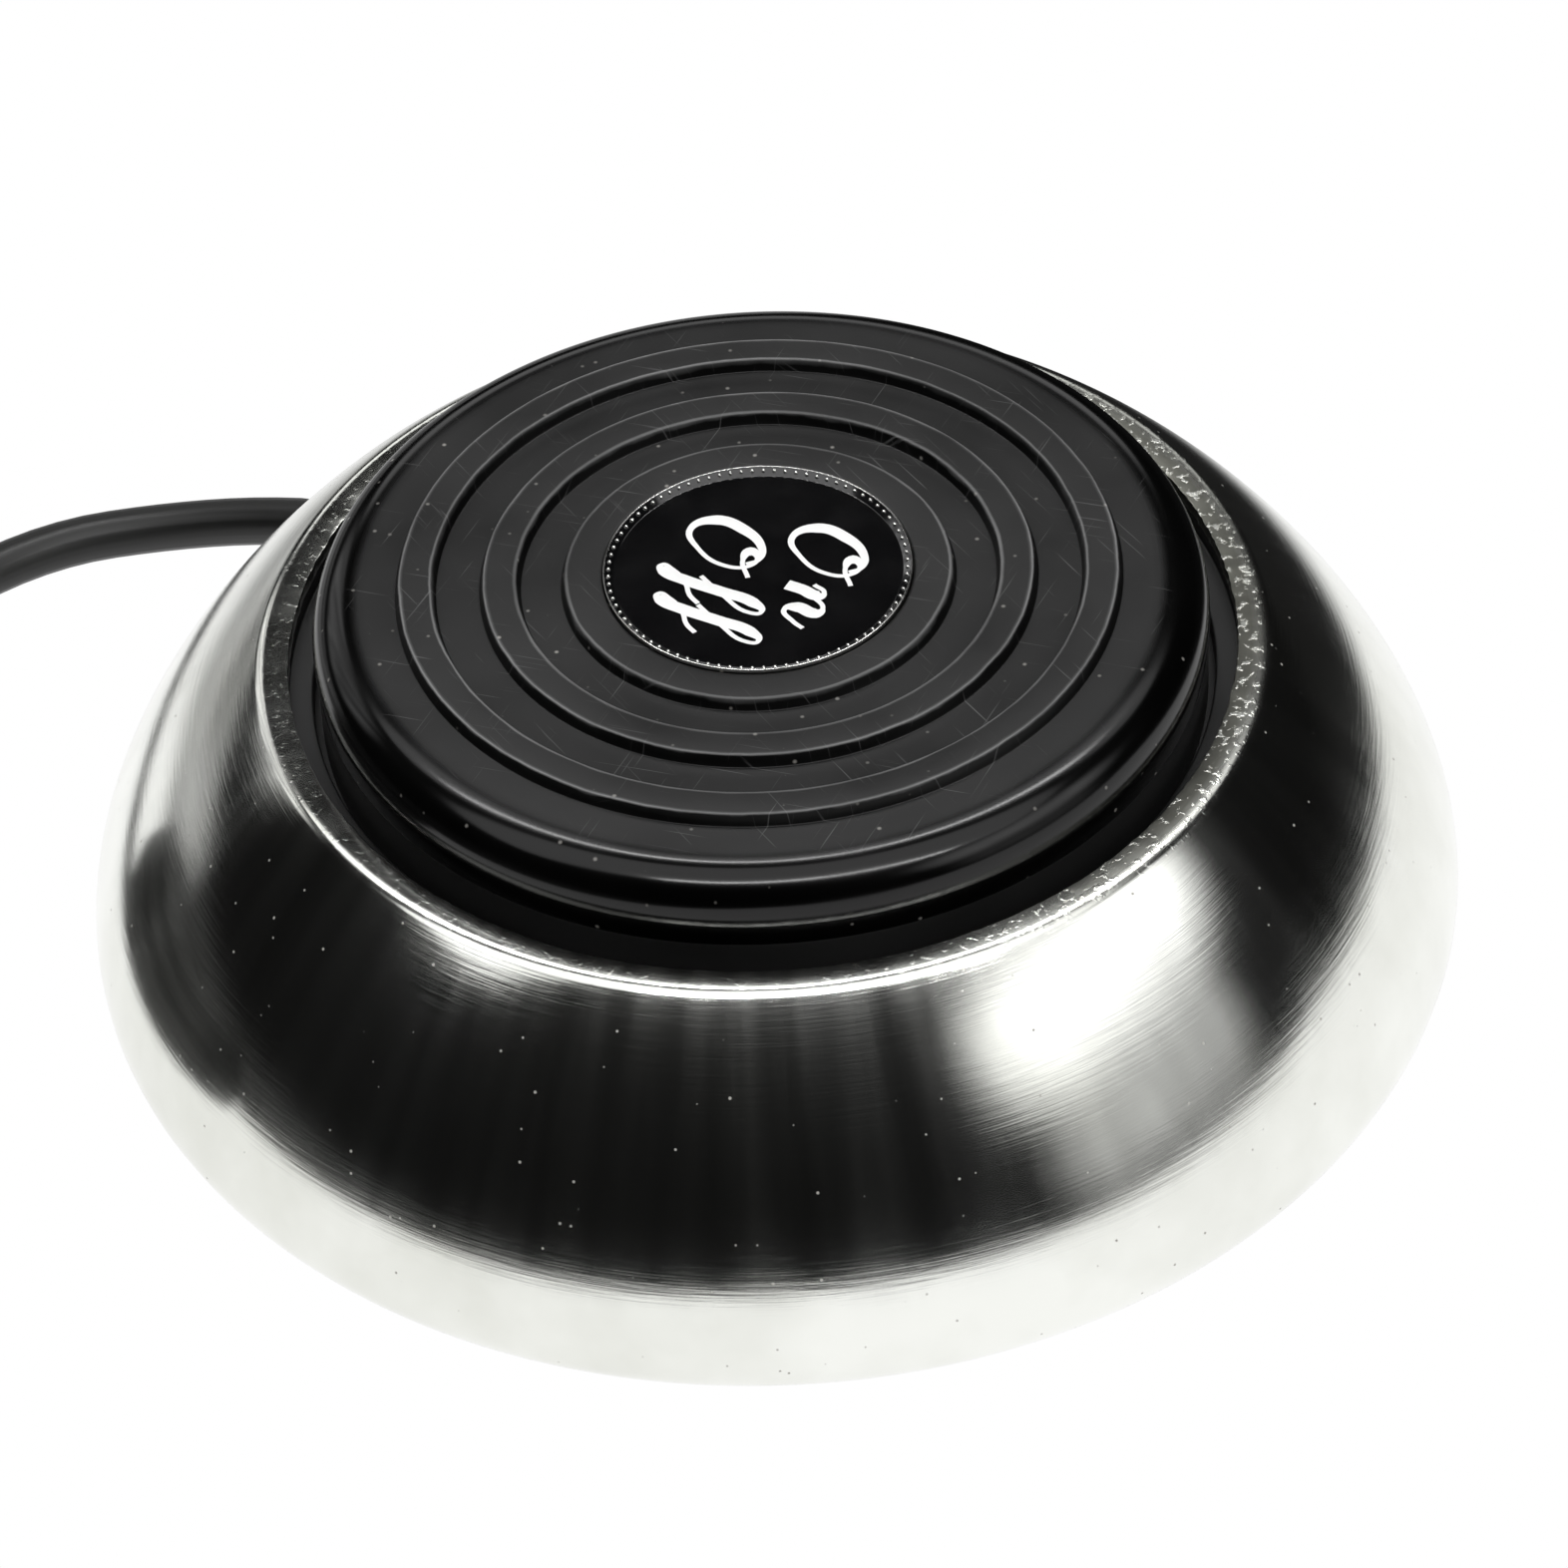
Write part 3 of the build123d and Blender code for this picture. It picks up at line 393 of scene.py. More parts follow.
@dataclass(frozen=True)
class TreadRubber(Moulded):
    """Hard black rubber of the tread: rubbed pale edges that are partly a painted highlight, step walls and shoulder
    painted dark as shade, a polished shoulder, scratches.

    Attributes:
        bands_mm: Radii where the tread steps down or up, the first one down.
        edge: Colour of the rubbed edges, which is partly a painted highlight, sRGB hex.
        step: Colour of the steps' walls and of the shoulder, a painted shade, sRGB hex.
        low: Colour of the lower rings, sRGB hex.
        scratch: Colour of the scratches, sRGB hex.
        reach_mm: Radius of the outer end of the ramp.
        shoulder_mm: Radius from which the shoulder is polished.
        waver_mm: Length over which the bands' edges waver.
        rub_mm: Size of the rubbed and unrubbed places.
        scratch_mm: Width and length of a scratch.
        specular: Strength of the rubber's reflection, less than a plastic's.
    """

    bands_mm: tuple[float, ...] = (14.8, 18.5, 21.05, 25.0, 27.5)
    edge: str = "#787878"
    step: str = "#040404"
    low: str = "#161616"
    scratch: str = "#8a8a8a"
    reach_mm: float = 34.4
    shoulder_mm: float = 30.6
    waver_mm: float = 3.846
    rub_mm: float = 14.286
    scratch_mm: Point = (0.1923, 9.091)
    specular: float = 0.36

    def stops(self) -> list[tuple[float, str]]:
        """Colour stops from the middle of the tread outwards."""
        found = [(0.0, self.base)]
        down = True
        for r in self.bands_mm:
            # Each step: a rubbed edge partly painted lighter as highlight, a wall painted dark as shade, then the
            # lower ring.
            run = [(r - 0.26, self.base), (r - 0.09, self.edge), (r + 0.05, self.step), (r + 0.28, self.step)]
            run.append((r + 0.42, self.low))
            if not down:
                run = [(2 * r - place, code) for place, code in reversed(run)]
            found += run
            down = not down
        # Painted shade: the shoulder and the side below it take the dark wall colour.
        found += [(self.shoulder_mm - 0.5, self.low), (self.shoulder_mm + 0.4, self.step)]
        return [(place / self.reach_mm, code) for place, code in found]

    def under_dust(self, on: Wires, colour: Node) -> Node:
        """Colour of the rings by radius, with painted highlight on the edges and painted shade on the walls, rubbed
        paler and darker in places.
        """
        radius, _ = about_axis(on)
        waver = on.add("TexNoise", on.place, per_metre(self.waver_mm), 4.0)
        shift = on.add("MapRange", waver, 0.3, 0.7, -0.06 * MM, 0.06 * MM)
        moved = on.add("Math.ADD", radius, shift)
        share = on.add("Math.MULTIPLY", moved, per_metre(self.reach_mm))
        rings = on.add("ValToRGB", share, stops=self.stops())
        patch = on.add("TexNoise", on.place, per_metre(self.rub_mm), 6.0)
        rub = on.add("MapRange", patch, 0.35, 0.7, 0.62, 1.35)
        return on.add("VectorMath.SCALE", rings, rub)

    def dress(self, on: Wires) -> None:
        """Polish the shoulder and add long fine scratches on the rings."""
        super().dress(on)
        radius, _ = about_axis(on)
        edge = self.shoulder_mm * MM
        satin, dusty = (on.shader.inputs[name].links[0].from_socket for name in ("Roughness", "Base Color"))
        worn = on.add("MapRange", radius, edge, edge + 0.8 * MM, 1.0, 0.4)
        polished = on.add("Math.MULTIPLY", satin, worn)
        scratched: Any = 0.0
        wide, long = (per_metre(size) for size in self.scratch_mm)
        for turn, seed in ((0.5, 0.0), (1.9, 7.0), (2.6, 19.0)):
            turned = on.add("Mapping", on.place, (seed, seed, 0.0), (0, 0, turn))
            laid = on.add("Mapping", turned, Scale=(wide, long, long))
            drawn = on.add("MapRange", on.add("TexNoise", laid, 1.0, 2.0), 0.69, 0.78, 0.0, 0.28)
            scratched = on.add("Math.MAXIMUM", scratched, drawn)
        on_top = on.add("MapRange", radius, edge, edge + 1.4 * MM, 1.0, 0.0)
        every = on.add("Math.MULTIPLY", scratched, on_top)
        pale = on.add("Mix", every, dusty, linear(self.scratch), data_type="RGBA")
        on.shade(Base_Color=pale, Roughness=polished, Specular_IOR_Level=self.specular)


@dataclass(frozen=True)
class GlossEnamel(Finish):
    """Gloss enamel: deep colour under a clear smooth skin with faint waves.

    Attributes:
        coat: Strength of the clear skin.
        cloud_mm: Size of the cloudy places.
        wave_mm: Length of the waves.
        wave_depth_mm: Their height.
    """

    coat: float = 1.0
    cloud_mm: float = 3.846
    wave_mm: float = 2.5
    wave_depth_mm: float = 0.004

    def dress(self, on: Wires) -> None:
        """Mix two near colours and give the skin a faint wave."""
        self.clouded(on, self.cloud_mm)
        self.grained(on, (on.place, per_metre(self.wave_mm), 1.0), self.wave_depth_mm, 0.4)
        on.shade(Coat_Weight=self.coat, Coat_Roughness=0.04)


@dataclass(frozen=True)
class CordSkin(Moulded):
    """Black PVC of the lead: satin, with fine lines drawn along it by the extruder."""

    def dress(self, on: Wires) -> None:
        """Add lines along the cord from its own map: one direction of it goes round the cord."""
        super().dress(on)
        wrap = on.add("TexCoord").outputs["UV"]
        laid = on.add("Mapping", wrap, Scale=(40.0, 26.0, 1.0))
        line = on.add("TexNoise", laid, 1.0, 3.0)
        on.shade(Roughness=on.add("MapRange", line, 0.35, 0.65, 0.34, 0.52))


# Spun low-carbon steel, polished and plated: mirrors the room, softened by round marks.
SHELL_STEEL = SpunSteel("spun_polished_steel", "#e3e4dd", "#f6f7f2", 0.115, 0.045)
# Hard carbon-black rubber, pressed: near black, satin, holds dust.
TREAD_RUBBER = TreadRubber("pressed_tread_rubber", "#1d1d1d", "#232323", 0.32, 0.14, dust=0.9, grain_depth_mm=0.0012)
# Softer rubber of the mat and grommet: dull.
MAT_RUBBER = Moulded("moulded_mat_rubber", "#1a1a1a", "#232322", 0.62, 0.16, dust=0.3, grain_mm=0.4)
# Black acetal of the guide ring: smooth and slightly waxy.
RING_ACETAL = Moulded("ring_acetal", "#131313", "#1a1a1a", 0.34, 0.12, grain_depth_mm=0.004)
# Black nylon of the pedal's carrier.
CARRIER_NYLON = Moulded("carrier_nylon", "#191919", "#222222", 0.42, 0.14, grain_depth_mm=0.006)
# Bright zinc on pressed sheet steel: pale, bluish and cloudy.
ZINC_SHEET = Worked("zinc_plated_sheet", "#b4b6b8", "#c8cacb", 0.3, 0.16)
# Zinc-plated screws.
ZINC_SCREW = Worked("zinc_plated_screw", "#aeb0b0", "#c4c6c6", 0.26, 0.12, mark_mm=0.12)
# Drawn and ground steel of the post and pins.
GROUND_STEEL = Worked("ground_steel", "#bdbcba", "#cdccca", 0.16, 0.1, marks=Axis.ROUND, mark_mm=0.1)
# Hard drawn spring wire, oiled: darker, with a soft sheen.
SPRING_WIRE = Worked("drawn_spring_wire", "#8d8c8a", "#a19f9c", 0.24, 0.12, mark_mm=0.15)
# Bright nickel on the stamped badge.
NICKEL_BADGE = Worked("nickel_plated_badge", "#d9d8d5", "#e8e7e5", 0.1, 0.08, marks=Axis.ROUND, mark_mm=0.1)
# Black gloss enamel in the badge's field.
BADGE_ENAMEL = GlossEnamel("black_gloss_enamel", "#070708", "#0c0c0d", 0.12, 0.06)
# White printing ink over the enamel.
WHITE_INK = GlossEnamel("white_print_ink", "#f6f6f4", "#ffffff", 0.3, 0.1, coat=0.3)
# Dark phenolic case of the switch.
CASE_PHENOLIC = Moulded("case_phenolic", "#20201f", "#2c2b2a", 0.36, 0.14, grain_depth_mm=0.006)
# Red acetal button of the switch.
BUTTON_ACETAL = Moulded("button_acetal", "#8e1f1a", "#a32a22", 0.34, 0.1, grain_depth_mm=0.003)
# Rolled brass of the terminals, tinned by handling to a dull yellow.
BLADE_BRASS = Worked("rolled_brass", "#c39a4f", "#d2ab62", 0.26, 0.14)
# Natural nylon of the cord's anchor.
ANCHOR_NYLON = Moulded("anchor_nylon", "#262626", "#303030", 0.4, 0.12)
# PVC cores: black and red.
CORE_BLACK = Moulded("core_pvc_black", "#171717", "#202020", 0.4, 0.1)
CORE_RED = Moulded("core_pvc_red", "#8c1a17", "#a3231f", 0.4, 0.1)
# Black PVC sheath of the lead.
LEAD_PVC = CordSkin("lead_pvc", "#0c0c0b", "#131312", 0.3, 0.12, grain_depth_mm=0.004)
# Woven strap of the coil.
STRAP_NYLON = Moulded("strap_nylon", "#1b1b1c", "#2a2a2b", 0.7, 0.16, grain_mm=0.5, grain_depth_mm=0.06)
# PVC moulding of the plug's handle and boot.
PLUG_PVC = Moulded("plug_pvc", "#161616", "#1f1f1f", 0.4, 0.14, grain_depth_mm=0.006)
# Nickel on the plug's contacts.
PLUG_NICKEL = Worked("nickel_plated_contact", "#cbc9c4", "#dbd9d5", 0.14, 0.1, marks=Axis.ROUND, mark_mm=0.15)


def placed(name: str, data: Any) -> Object:
    """Put an object with this data into the scene.

    Args:
        name: Name of the object.
        data: Its mesh, curve, lamp or camera.

    Returns:
        The object.
    """
    made = bpy.data.objects.new(name, data)
    bpy.context.scene.collection.objects.link(made)
    return made


def aimed(thing: Object, spot: Place, aim: Place) -> None:
    """Stand an object at a spot with its face towards a point."""
    thing.location = spot
    thing.rotation_mode = "QUATERNION"
    thing.rotation_quaternion = (Vector(aim) - Vector(spot)).to_track_quat("-Z", "Y")


def settled(made: bmesh.types.BMesh, name: str) -> Mesh:
    """Turn a working mesh into a plain one, and free it."""
    mesh = bpy.data.meshes.new(name)
    made.to_mesh(mesh)
    made.free()
    return mesh


def round_line(name: str, radius: float, sides: int) -> bpy.types.Curve:
    """Start a round line with closed ends.

    Args:
        name: Name of the curve.
        radius: Its radius, in metres.
        sides: How finely it is rounded.

    Returns:
        The curve, without a point yet.
    """
    line = bpy.data.curves.new(name, "CURVE")
    line.dimensions = "3D"
    line.bevel_depth = radius
    line.bevel_resolution = sides
    line.use_fill_caps = True
    return line


def plain_mesh(piece: Object) -> Mesh:
    """Turn an object with its modifiers into a plain mesh and remove the object."""
    graph = bpy.context.evaluated_depsgraph_get()
    mesh = bpy.data.meshes.new_from_object(piece.evaluated_get(graph))
    bpy.data.objects.remove(piece)
    return mesh


def finished(
    name: str,
    mesh: Mesh,
    finish: Finish,
    body: Body,
    stands_for: Sequence[str] = (),
    sharp_deg: float = 32.0,
) -> Object:
    """Put a finished mesh into the scene as a piece of the frame.

    Args:
        name: Name of the piece.
        mesh: Its mesh, in place, in metres.
        finish: The finish that it wears.
        body: The body that it rides on.
        stands_for: CAD nodes that it replaces.
        sharp_deg: Edges that turn more than this stay crisp.

    Returns:
        The piece.
    """
    mesh.shade_smooth()
    mesh.set_sharp_from_angle(angle=math.radians(sharp_deg))
    mesh.materials.clear()
    mesh.materials.append(finish.material())
    piece = placed(name, mesh)
    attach(piece, body.value)
    if stands_for:
        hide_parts(*stands_for)
    log.info("%s: %d faces, rides on %s", name, len(mesh.polygons), body.value)
    return piece


def arc(centre: Point, radius: float, start: float, end: float, steps: int) -> list[Point]:
    """Points of an arc in a section.

    Args:
        centre: Middle of the arc, radius and height.
        radius: Its radius.
        start: First angle in degrees, from the outward direction.
        end: Last angle.
        steps: Number of runs.

    Returns:
        The arc's points, both ends among them.
    """
    angles = [math.radians(start + (end - start) * i / steps) for i in range(steps + 1)]
    return [(centre[0] + radius * math.cos(a), centre[1] + radius * math.sin(a)) for a in angles]


def bezier(a: Point, b: Point, c: Point, d: Point, steps: int) -> list[Point]:
    """Points of a cubic curve in a section, both ends among them."""
    points = []
    for i in range(steps + 1):
        t = i / steps
        w = ((1 - t) ** 3, 3 * t * (1 - t) ** 2, 3 * t * t * (1 - t), t**3)
        points.append(tuple(sum(k * p[j] for k, p in zip(w, (a, b, c, d))) for j in (0, 1)))
    return points


def rounded(corners: Sequence[tuple[float, ...]], steps: int = 4) -> list[Point]:
    """Round the corners of a closed section.

    Args:
        corners: Radius and height of each corner, and its rounding where it has one, in millimetres.
        steps: Runs in each rounding.

    Returns:
        The section's points.
    """
    points: list[Point] = []
    for i, (x, z, *cut) in enumerate(corners):
        here = Vector((x, z))
        before = Vector(corners[i - 1][:2]) - here
        after = Vector(corners[(i + 1) % len(corners)][:2]) - here
        if not any(cut) or before.length < 1e-9 or after.length < 1e-9:
            points.append((x, z))
            continue
        half = before.angle(after) / 2
        reach = min(cut[0] / math.tan(half), 0.49 * before.length, 0.49 * after.length)
        start = here + before.normalized() * reach
        end = here + after.normalized() * reach
        for k in range(steps + 1):
            t = k / steps
            spot = start * (1 - t) ** 2 + here * (2 * t * (1 - t)) + end * (t * t)
            points.append((spot.x, spot.y))
    return points


def skinned(rings: Sequence[Sequence[Place]], closed: bool = True) -> Mesh:
    """Join rings of points by faces that point outwards.

    Args:
        rings: Points of each ring; a ring of one point closes an end.
        closed: Whether the last ring joins the first.

    Returns:
        The mesh.
    """
    made = bmesh.new()
    loops = [[made.verts.new(spot) for spot in ring] for ring in rings]
    for first, second in zip(loops, loops[1:] + (loops[:1] if closed else [])):
        count = max(len(first), len(second))
        for i in range(count):
            k = (i + 1) % count
            quad = [first[i % len(first)], first[k % len(first)], second[k % len(second)], second[i % len(second)]]
            corners = list(dict.fromkeys(quad))
            if len(corners) > 2:
                made.faces.new(corners)
    bmesh.ops.remove_doubles(made, verts=made.verts, dist=1e-7)
    bmesh.ops.recalc_face_normals(made, faces=made.faces)
    return settled(made, "skin")


def lathe(
    section: Sequence[Point],
    segments: int,
    closed: bool = True,
    nudge: Optional[Callable[[float, float, float], Point]] = None,
) -> Mesh:
    """Turn a section about the upright axis into a closed mesh.

    Args:
        section: Radius and height of its points, in millimetres.
        segments: Number of faces round the axis.
        closed: False where both ends of the section lie on the axis.
        nudge: Moves a point, given its radius, height and angle, for wear.

    Returns:
        The mesh, in metres, with its faces pointing outwards.
    """
    angles = [2 * math.pi * i / segments for i in range(segments)]
    rings: list[list[Place]] = []
    for r, z in section:
        if r < 1e-6:
            rings.append([(0.0, 0.0, z * MM)])
            continue
        moved = [(*(nudge(r, z, angle) if nudge else (r, z)), angle) for angle in angles]
        rings.append([(rr * math.cos(angle) * MM, rr * math.sin(angle) * MM, zz * MM) for rr, zz, angle in moved])
    return skinned(rings, closed)


def grown(name: str, values: dict[str, Any], lay: Callable[[Wires, Any], Node]) -> Mesh:
    """Grow a mesh with a geometry node tree, and keep it as a plain mesh.

    Args:
        name: Name of the tree.
        values: The tree's inputs by name, with their values.
        lay: Adds the nodes that make the shape from those inputs, and returns the last one.

    Returns:
        The mesh, dressed in the input named Material.
    """
    kinds = {int: "NodeSocketInt", float: "NodeSocketFloat", bpy.types.Material: "NodeSocketMaterial"}
    tree = bpy.data.node_groups.new(name, "GeometryNodeTree")
    for label, value in values.items():
        tree.interface.new_socket(name=label, in_out="INPUT", socket_type=kinds[type(value)])
    tree.interface.new_socket(name="Geometry", in_out="OUTPUT", socket_type="NodeSocketGeometry")
    on = Wires(tree)
    given = on.add("NodeGroupInput").outputs
    solid = on.add("GeometryNodeRealizeInstances", lay(on, given))
    dressed = on.add("GeometryNodeSetMaterial", solid, Material=given["Material"])
    on.add("NodeGroupOutput", dressed)
    holder = placed(name, bpy.data.meshes.new(name))
    step = holder.modifiers.new(name, "NODES")
    step.node_group = tree
    for item in tree.interface.items_tree:
        if item.in_out == "INPUT":
            step[item.identifier] = values[item.name]
    return plain_mesh(holder)


@dataclass(frozen=True)
class Shell:
    """Spun shell, guide ring and lip, sizes in millimetres."""

    max_r: float = 53.7
    wall: float = 1.0
    widest_z: float = 6.8
    curl_r: float = 4.6
    flange_r: float = 45.5
    lip_r: float = 36.5
    lip_flat: float = 1.6
    lip_z: float = 31.2
    lip_round: float = 1.6
    flank_deg: float = 42.0
    top_pull: float = 9.0
    low_pull: float = 7.0
    hole_deg: float = 127.0
    hole_r: float = 3.6
    ledge_r: float = 34.8
    ledge_top: float = 28.5
    ledge_low: float = 26.8
    key_low: float = 21.35
    key_wide: float = 3.0
    key_count: int = 3
    key_deg: float = 30.0
    segments: int = 480

    def side(self, inset: float) -> list[Point]:
        """Points of the section from the lip's inner edge to the flange's, at a depth in the wall."""
        slope = math.radians(self.flank_deg)
        middle = (self.lip_r + self.lip_flat, self.lip_z - self.lip_round)
        shrink = 1 - inset / self.max_r
        lip = arc(middle, self.lip_round - inset, 90, 90 - self.flank_deg, 10)
        end = lip[-1]
        widest = (self.max_r - inset, self.widest_z)
        pull = self.top_pull * shrink
        top = (end[0] + math.cos(slope) * pull, end[1] - math.sin(slope) * pull)
        low = (widest[0], widest[1] + self.low_pull * shrink)
        curl = arc((self.max_r - self.curl_r, self.widest_z), self.curl_r - inset, 0, -90, 10)
        flange = (self.flange_r, curl[-1][1])
        return [(self.lip_r, lip[0][1])] + lip + bezier(end, top, low, widest, 34)[1:] + curl[1:] + [flange]

    def worn(self, r: float, z: float, angle: float) -> Point:
        """Roughen the lip's cut inner edge, as the photo shows."""
        near = max(0.0, 1 - (r - self.lip_r) / 0.5)
        if near <= 0 or z < self.lip_z - 1.2:
            return r, z
        spot = Vector((math.cos(angle) * 42, math.sin(angle) * 42, z))
        fine = noise.noise(spot * 1.9) * 0.09 + noise.noise(spot * 0.6) * 0.07
        return r + near * fine, z - near * abs(noise.noise(spot * 1.3)) * 0.06

    def build(self) -> None:
        """Build the shell with its cord hole, and the guide ring."""
        edge, *outside = self.side(0.0)
        burr = [(edge[0], edge[1] - 0.12), (edge[0] + 0.04, edge[1] - 0.03), (edge[0] + 0.14, edge[1])]
        mesh = lathe(burr + outside + self.side(self.wall)[::-1], self.segments, nudge=self.worn)
        finished("shell_skin", self.pierced(mesh), SHELL_STEEL, Body.HOUSING, ["shell"], 40.0)
        self.ring()

    def pierced(self, mesh: Mesh) -> Mesh:
        """Cut the hole for the lead through the shell's side."""
        blank = placed("blank", mesh)
        drill = bmesh.new()
        radii = {"radius1": self.hole_r * MM, "radius2": self.hole_r * MM}
        bmesh.ops.create_cone(drill, cap_ends=True, segments=48, depth=8 * MM, **radii)
        out = Vector(polar(1.0, self.hole_deg))
        place = Matrix.Translation(out * (self.max_r - 0.5) * MM + Vector((0, 0, self.widest_z * MM)))
        drill.transform(place @ out.to_track_quat("Z", "Y").to_matrix().to_4x4())
        bit = placed("bit", settled(drill, "bit"))
        cut = blank.modifiers.new("hole", "BOOLEAN")
        cut.operation = "DIFFERENCE"
        cut.solver = "EXACT"
        cut.object = bit
        done = plain_mesh(blank)
        bpy.data.objects.remove(bit)
        return done

    def ring(self) -> None:
        """Build the black ring whose ledge shows in the gap round the pedal, with its keys."""
        under = self.lip_z - self.wall
        out = self.lip_r + self.lip_flat
        corners = [(self.ledge_r, self.ledge_low, 0.15), (out, self.ledge_low, 0.15), (out, under)]
        corners += [(self.lip_r + 0.2, under), (self.lip_r + 0.2, self.ledge_top, 0.2)]
        corners += [(self.ledge_r, self.ledge_top, 0.2)]
        made = bmesh.new()
        made.from_mesh(lathe(rounded(corners), 240))
        inner, outer = self.ledge_r + 0.3, out - 0.8
        top = self.ledge_low + 0.85
        size = Matrix.Diagonal(((outer - inner) * MM, self.key_wide * MM, (top - self.key_low) * MM, 1))
        middle = Matrix.Translation(((outer + inner) / 2 * MM, 0, (top + self.key_low) / 2 * MM))
        for i in range(self.key_count):
            turn = Matrix.Rotation(math.radians(self.key_deg + 360 / self.key_count * i), 4, "Z")
            key = bmesh.ops.create_cube(made, size=1.0)["verts"]
            bmesh.ops.transform(made, matrix=turn @ middle @ size, verts=key)
        mesh = settled(made, "ring")
        finished("guide_ring_skin", mesh, RING_ACETAL, Body.HOUSING, ["guide_ring"])


@dataclass(frozen=True)
class Pedal:
    """Rubber tread of the pedal, sizes in millimetres."""

    top_z: float = 38.5
    step: float = 1.0
    radii: tuple[float, ...] = (14.8, 18.5, 21.05, 25.0, 27.5)
    draft: float = 0.3
    edge: float = 0.22
    foot: float = 0.12
    r: float = 34.4
    shoulder_r: float = 3.5
    skirt_r: float = 34.25
    foot_z: float = 31.6
    neck_r: float = 32.9
    under_z: float = 34.4
    seat_r: float = 11.9
    seat_z: float = 37.3

    def build(self) -> None:
        """Build the tread with its stepped rings, shoulder and thin bead."""
        low = self.top_z - self.step
        bead = low - self.shoulder_r
        corners = [(0.0, self.under_z), (self.neck_r, self.under_z), (self.neck_r, self.foot_z, 0.1)]
        corners += [(self.skirt_r, self.foot_z, 0.1), (self.skirt_r, bead - 0.6, 0.1)]
        corners += [(self.r, bead - 0.42, 0.1), (self.r, bead - 0.1)]
        corners += arc((self.r - self.shoulder_r, bead), self.shoulder_r, 0, 90, 22)
        top: list[Place] = []
        for i, radius in enumerate(self.radii):
            if i % 2 == 0:
                top += [(radius, self.top_z, self.edge), (radius + self.draft, low, self.foot)]
            else:
                top += [(radius - self.draft, low, self.foot), (radius, self.top_z, self.edge)]
        corners += top[::-1]
        corners += [(self.seat_r, self.top_z, 0.3), (self.seat_r, self.seat_z), (0.0, self.seat_z)]
        mesh = lathe(rounded(corners, 5), 320, closed=False)
        finished("tread_skin", mesh, TREAD_RUBBER, Body.PEDAL, ["pedal_pad"], 50.0)


# Width and pen strokes of each letter, in cap heights.
PEN_O = (
    ((0.66, 0.80), (0.55, 0.97), (0.36, 0.98), (0.14, 0.72), (0.07, 0.34), (0.26, 0.02), (0.55, 0.14))
    + ((0.74, 0.52), (0.68, 0.84), (0.54, 0.94), (0.46, 0.84), (0.60, 0.75), (0.86, 0.84)),
)
PEN_N = (
    ((0.0, 0.36), (0.10, 0.50), (0.15, 0.44), (0.10, 0.20), (0.07, 0.0)),
    ((0.08, 0.08), (0.20, 0.38), (0.34, 0.50), (0.42, 0.42), (0.38, 0.16), (0.44, 0.0), (0.60, 0.12), (0.68, 0.26)),
)
PEN_F = (
    ((0.02, 0.22), (0.24, 0.52), (0.44, 0.92), (0.40, 1.06), (0.28, 0.94), (0.20, 0.50), (0.12, 0.0))
    + ((0.04, -0.28), (-0.04, -0.32), (0.0, -0.16), (0.16, 0.02), (0.34, 0.10), (0.44, 0.22)),
)
PEN_LETTERS: dict[str, tuple[float, tuple[tuple[Point, ...], ...]]] = {
    "O": (0.94, PEN_O),
    "n": (0.66, PEN_N),
    "f": (0.44, PEN_F),
}


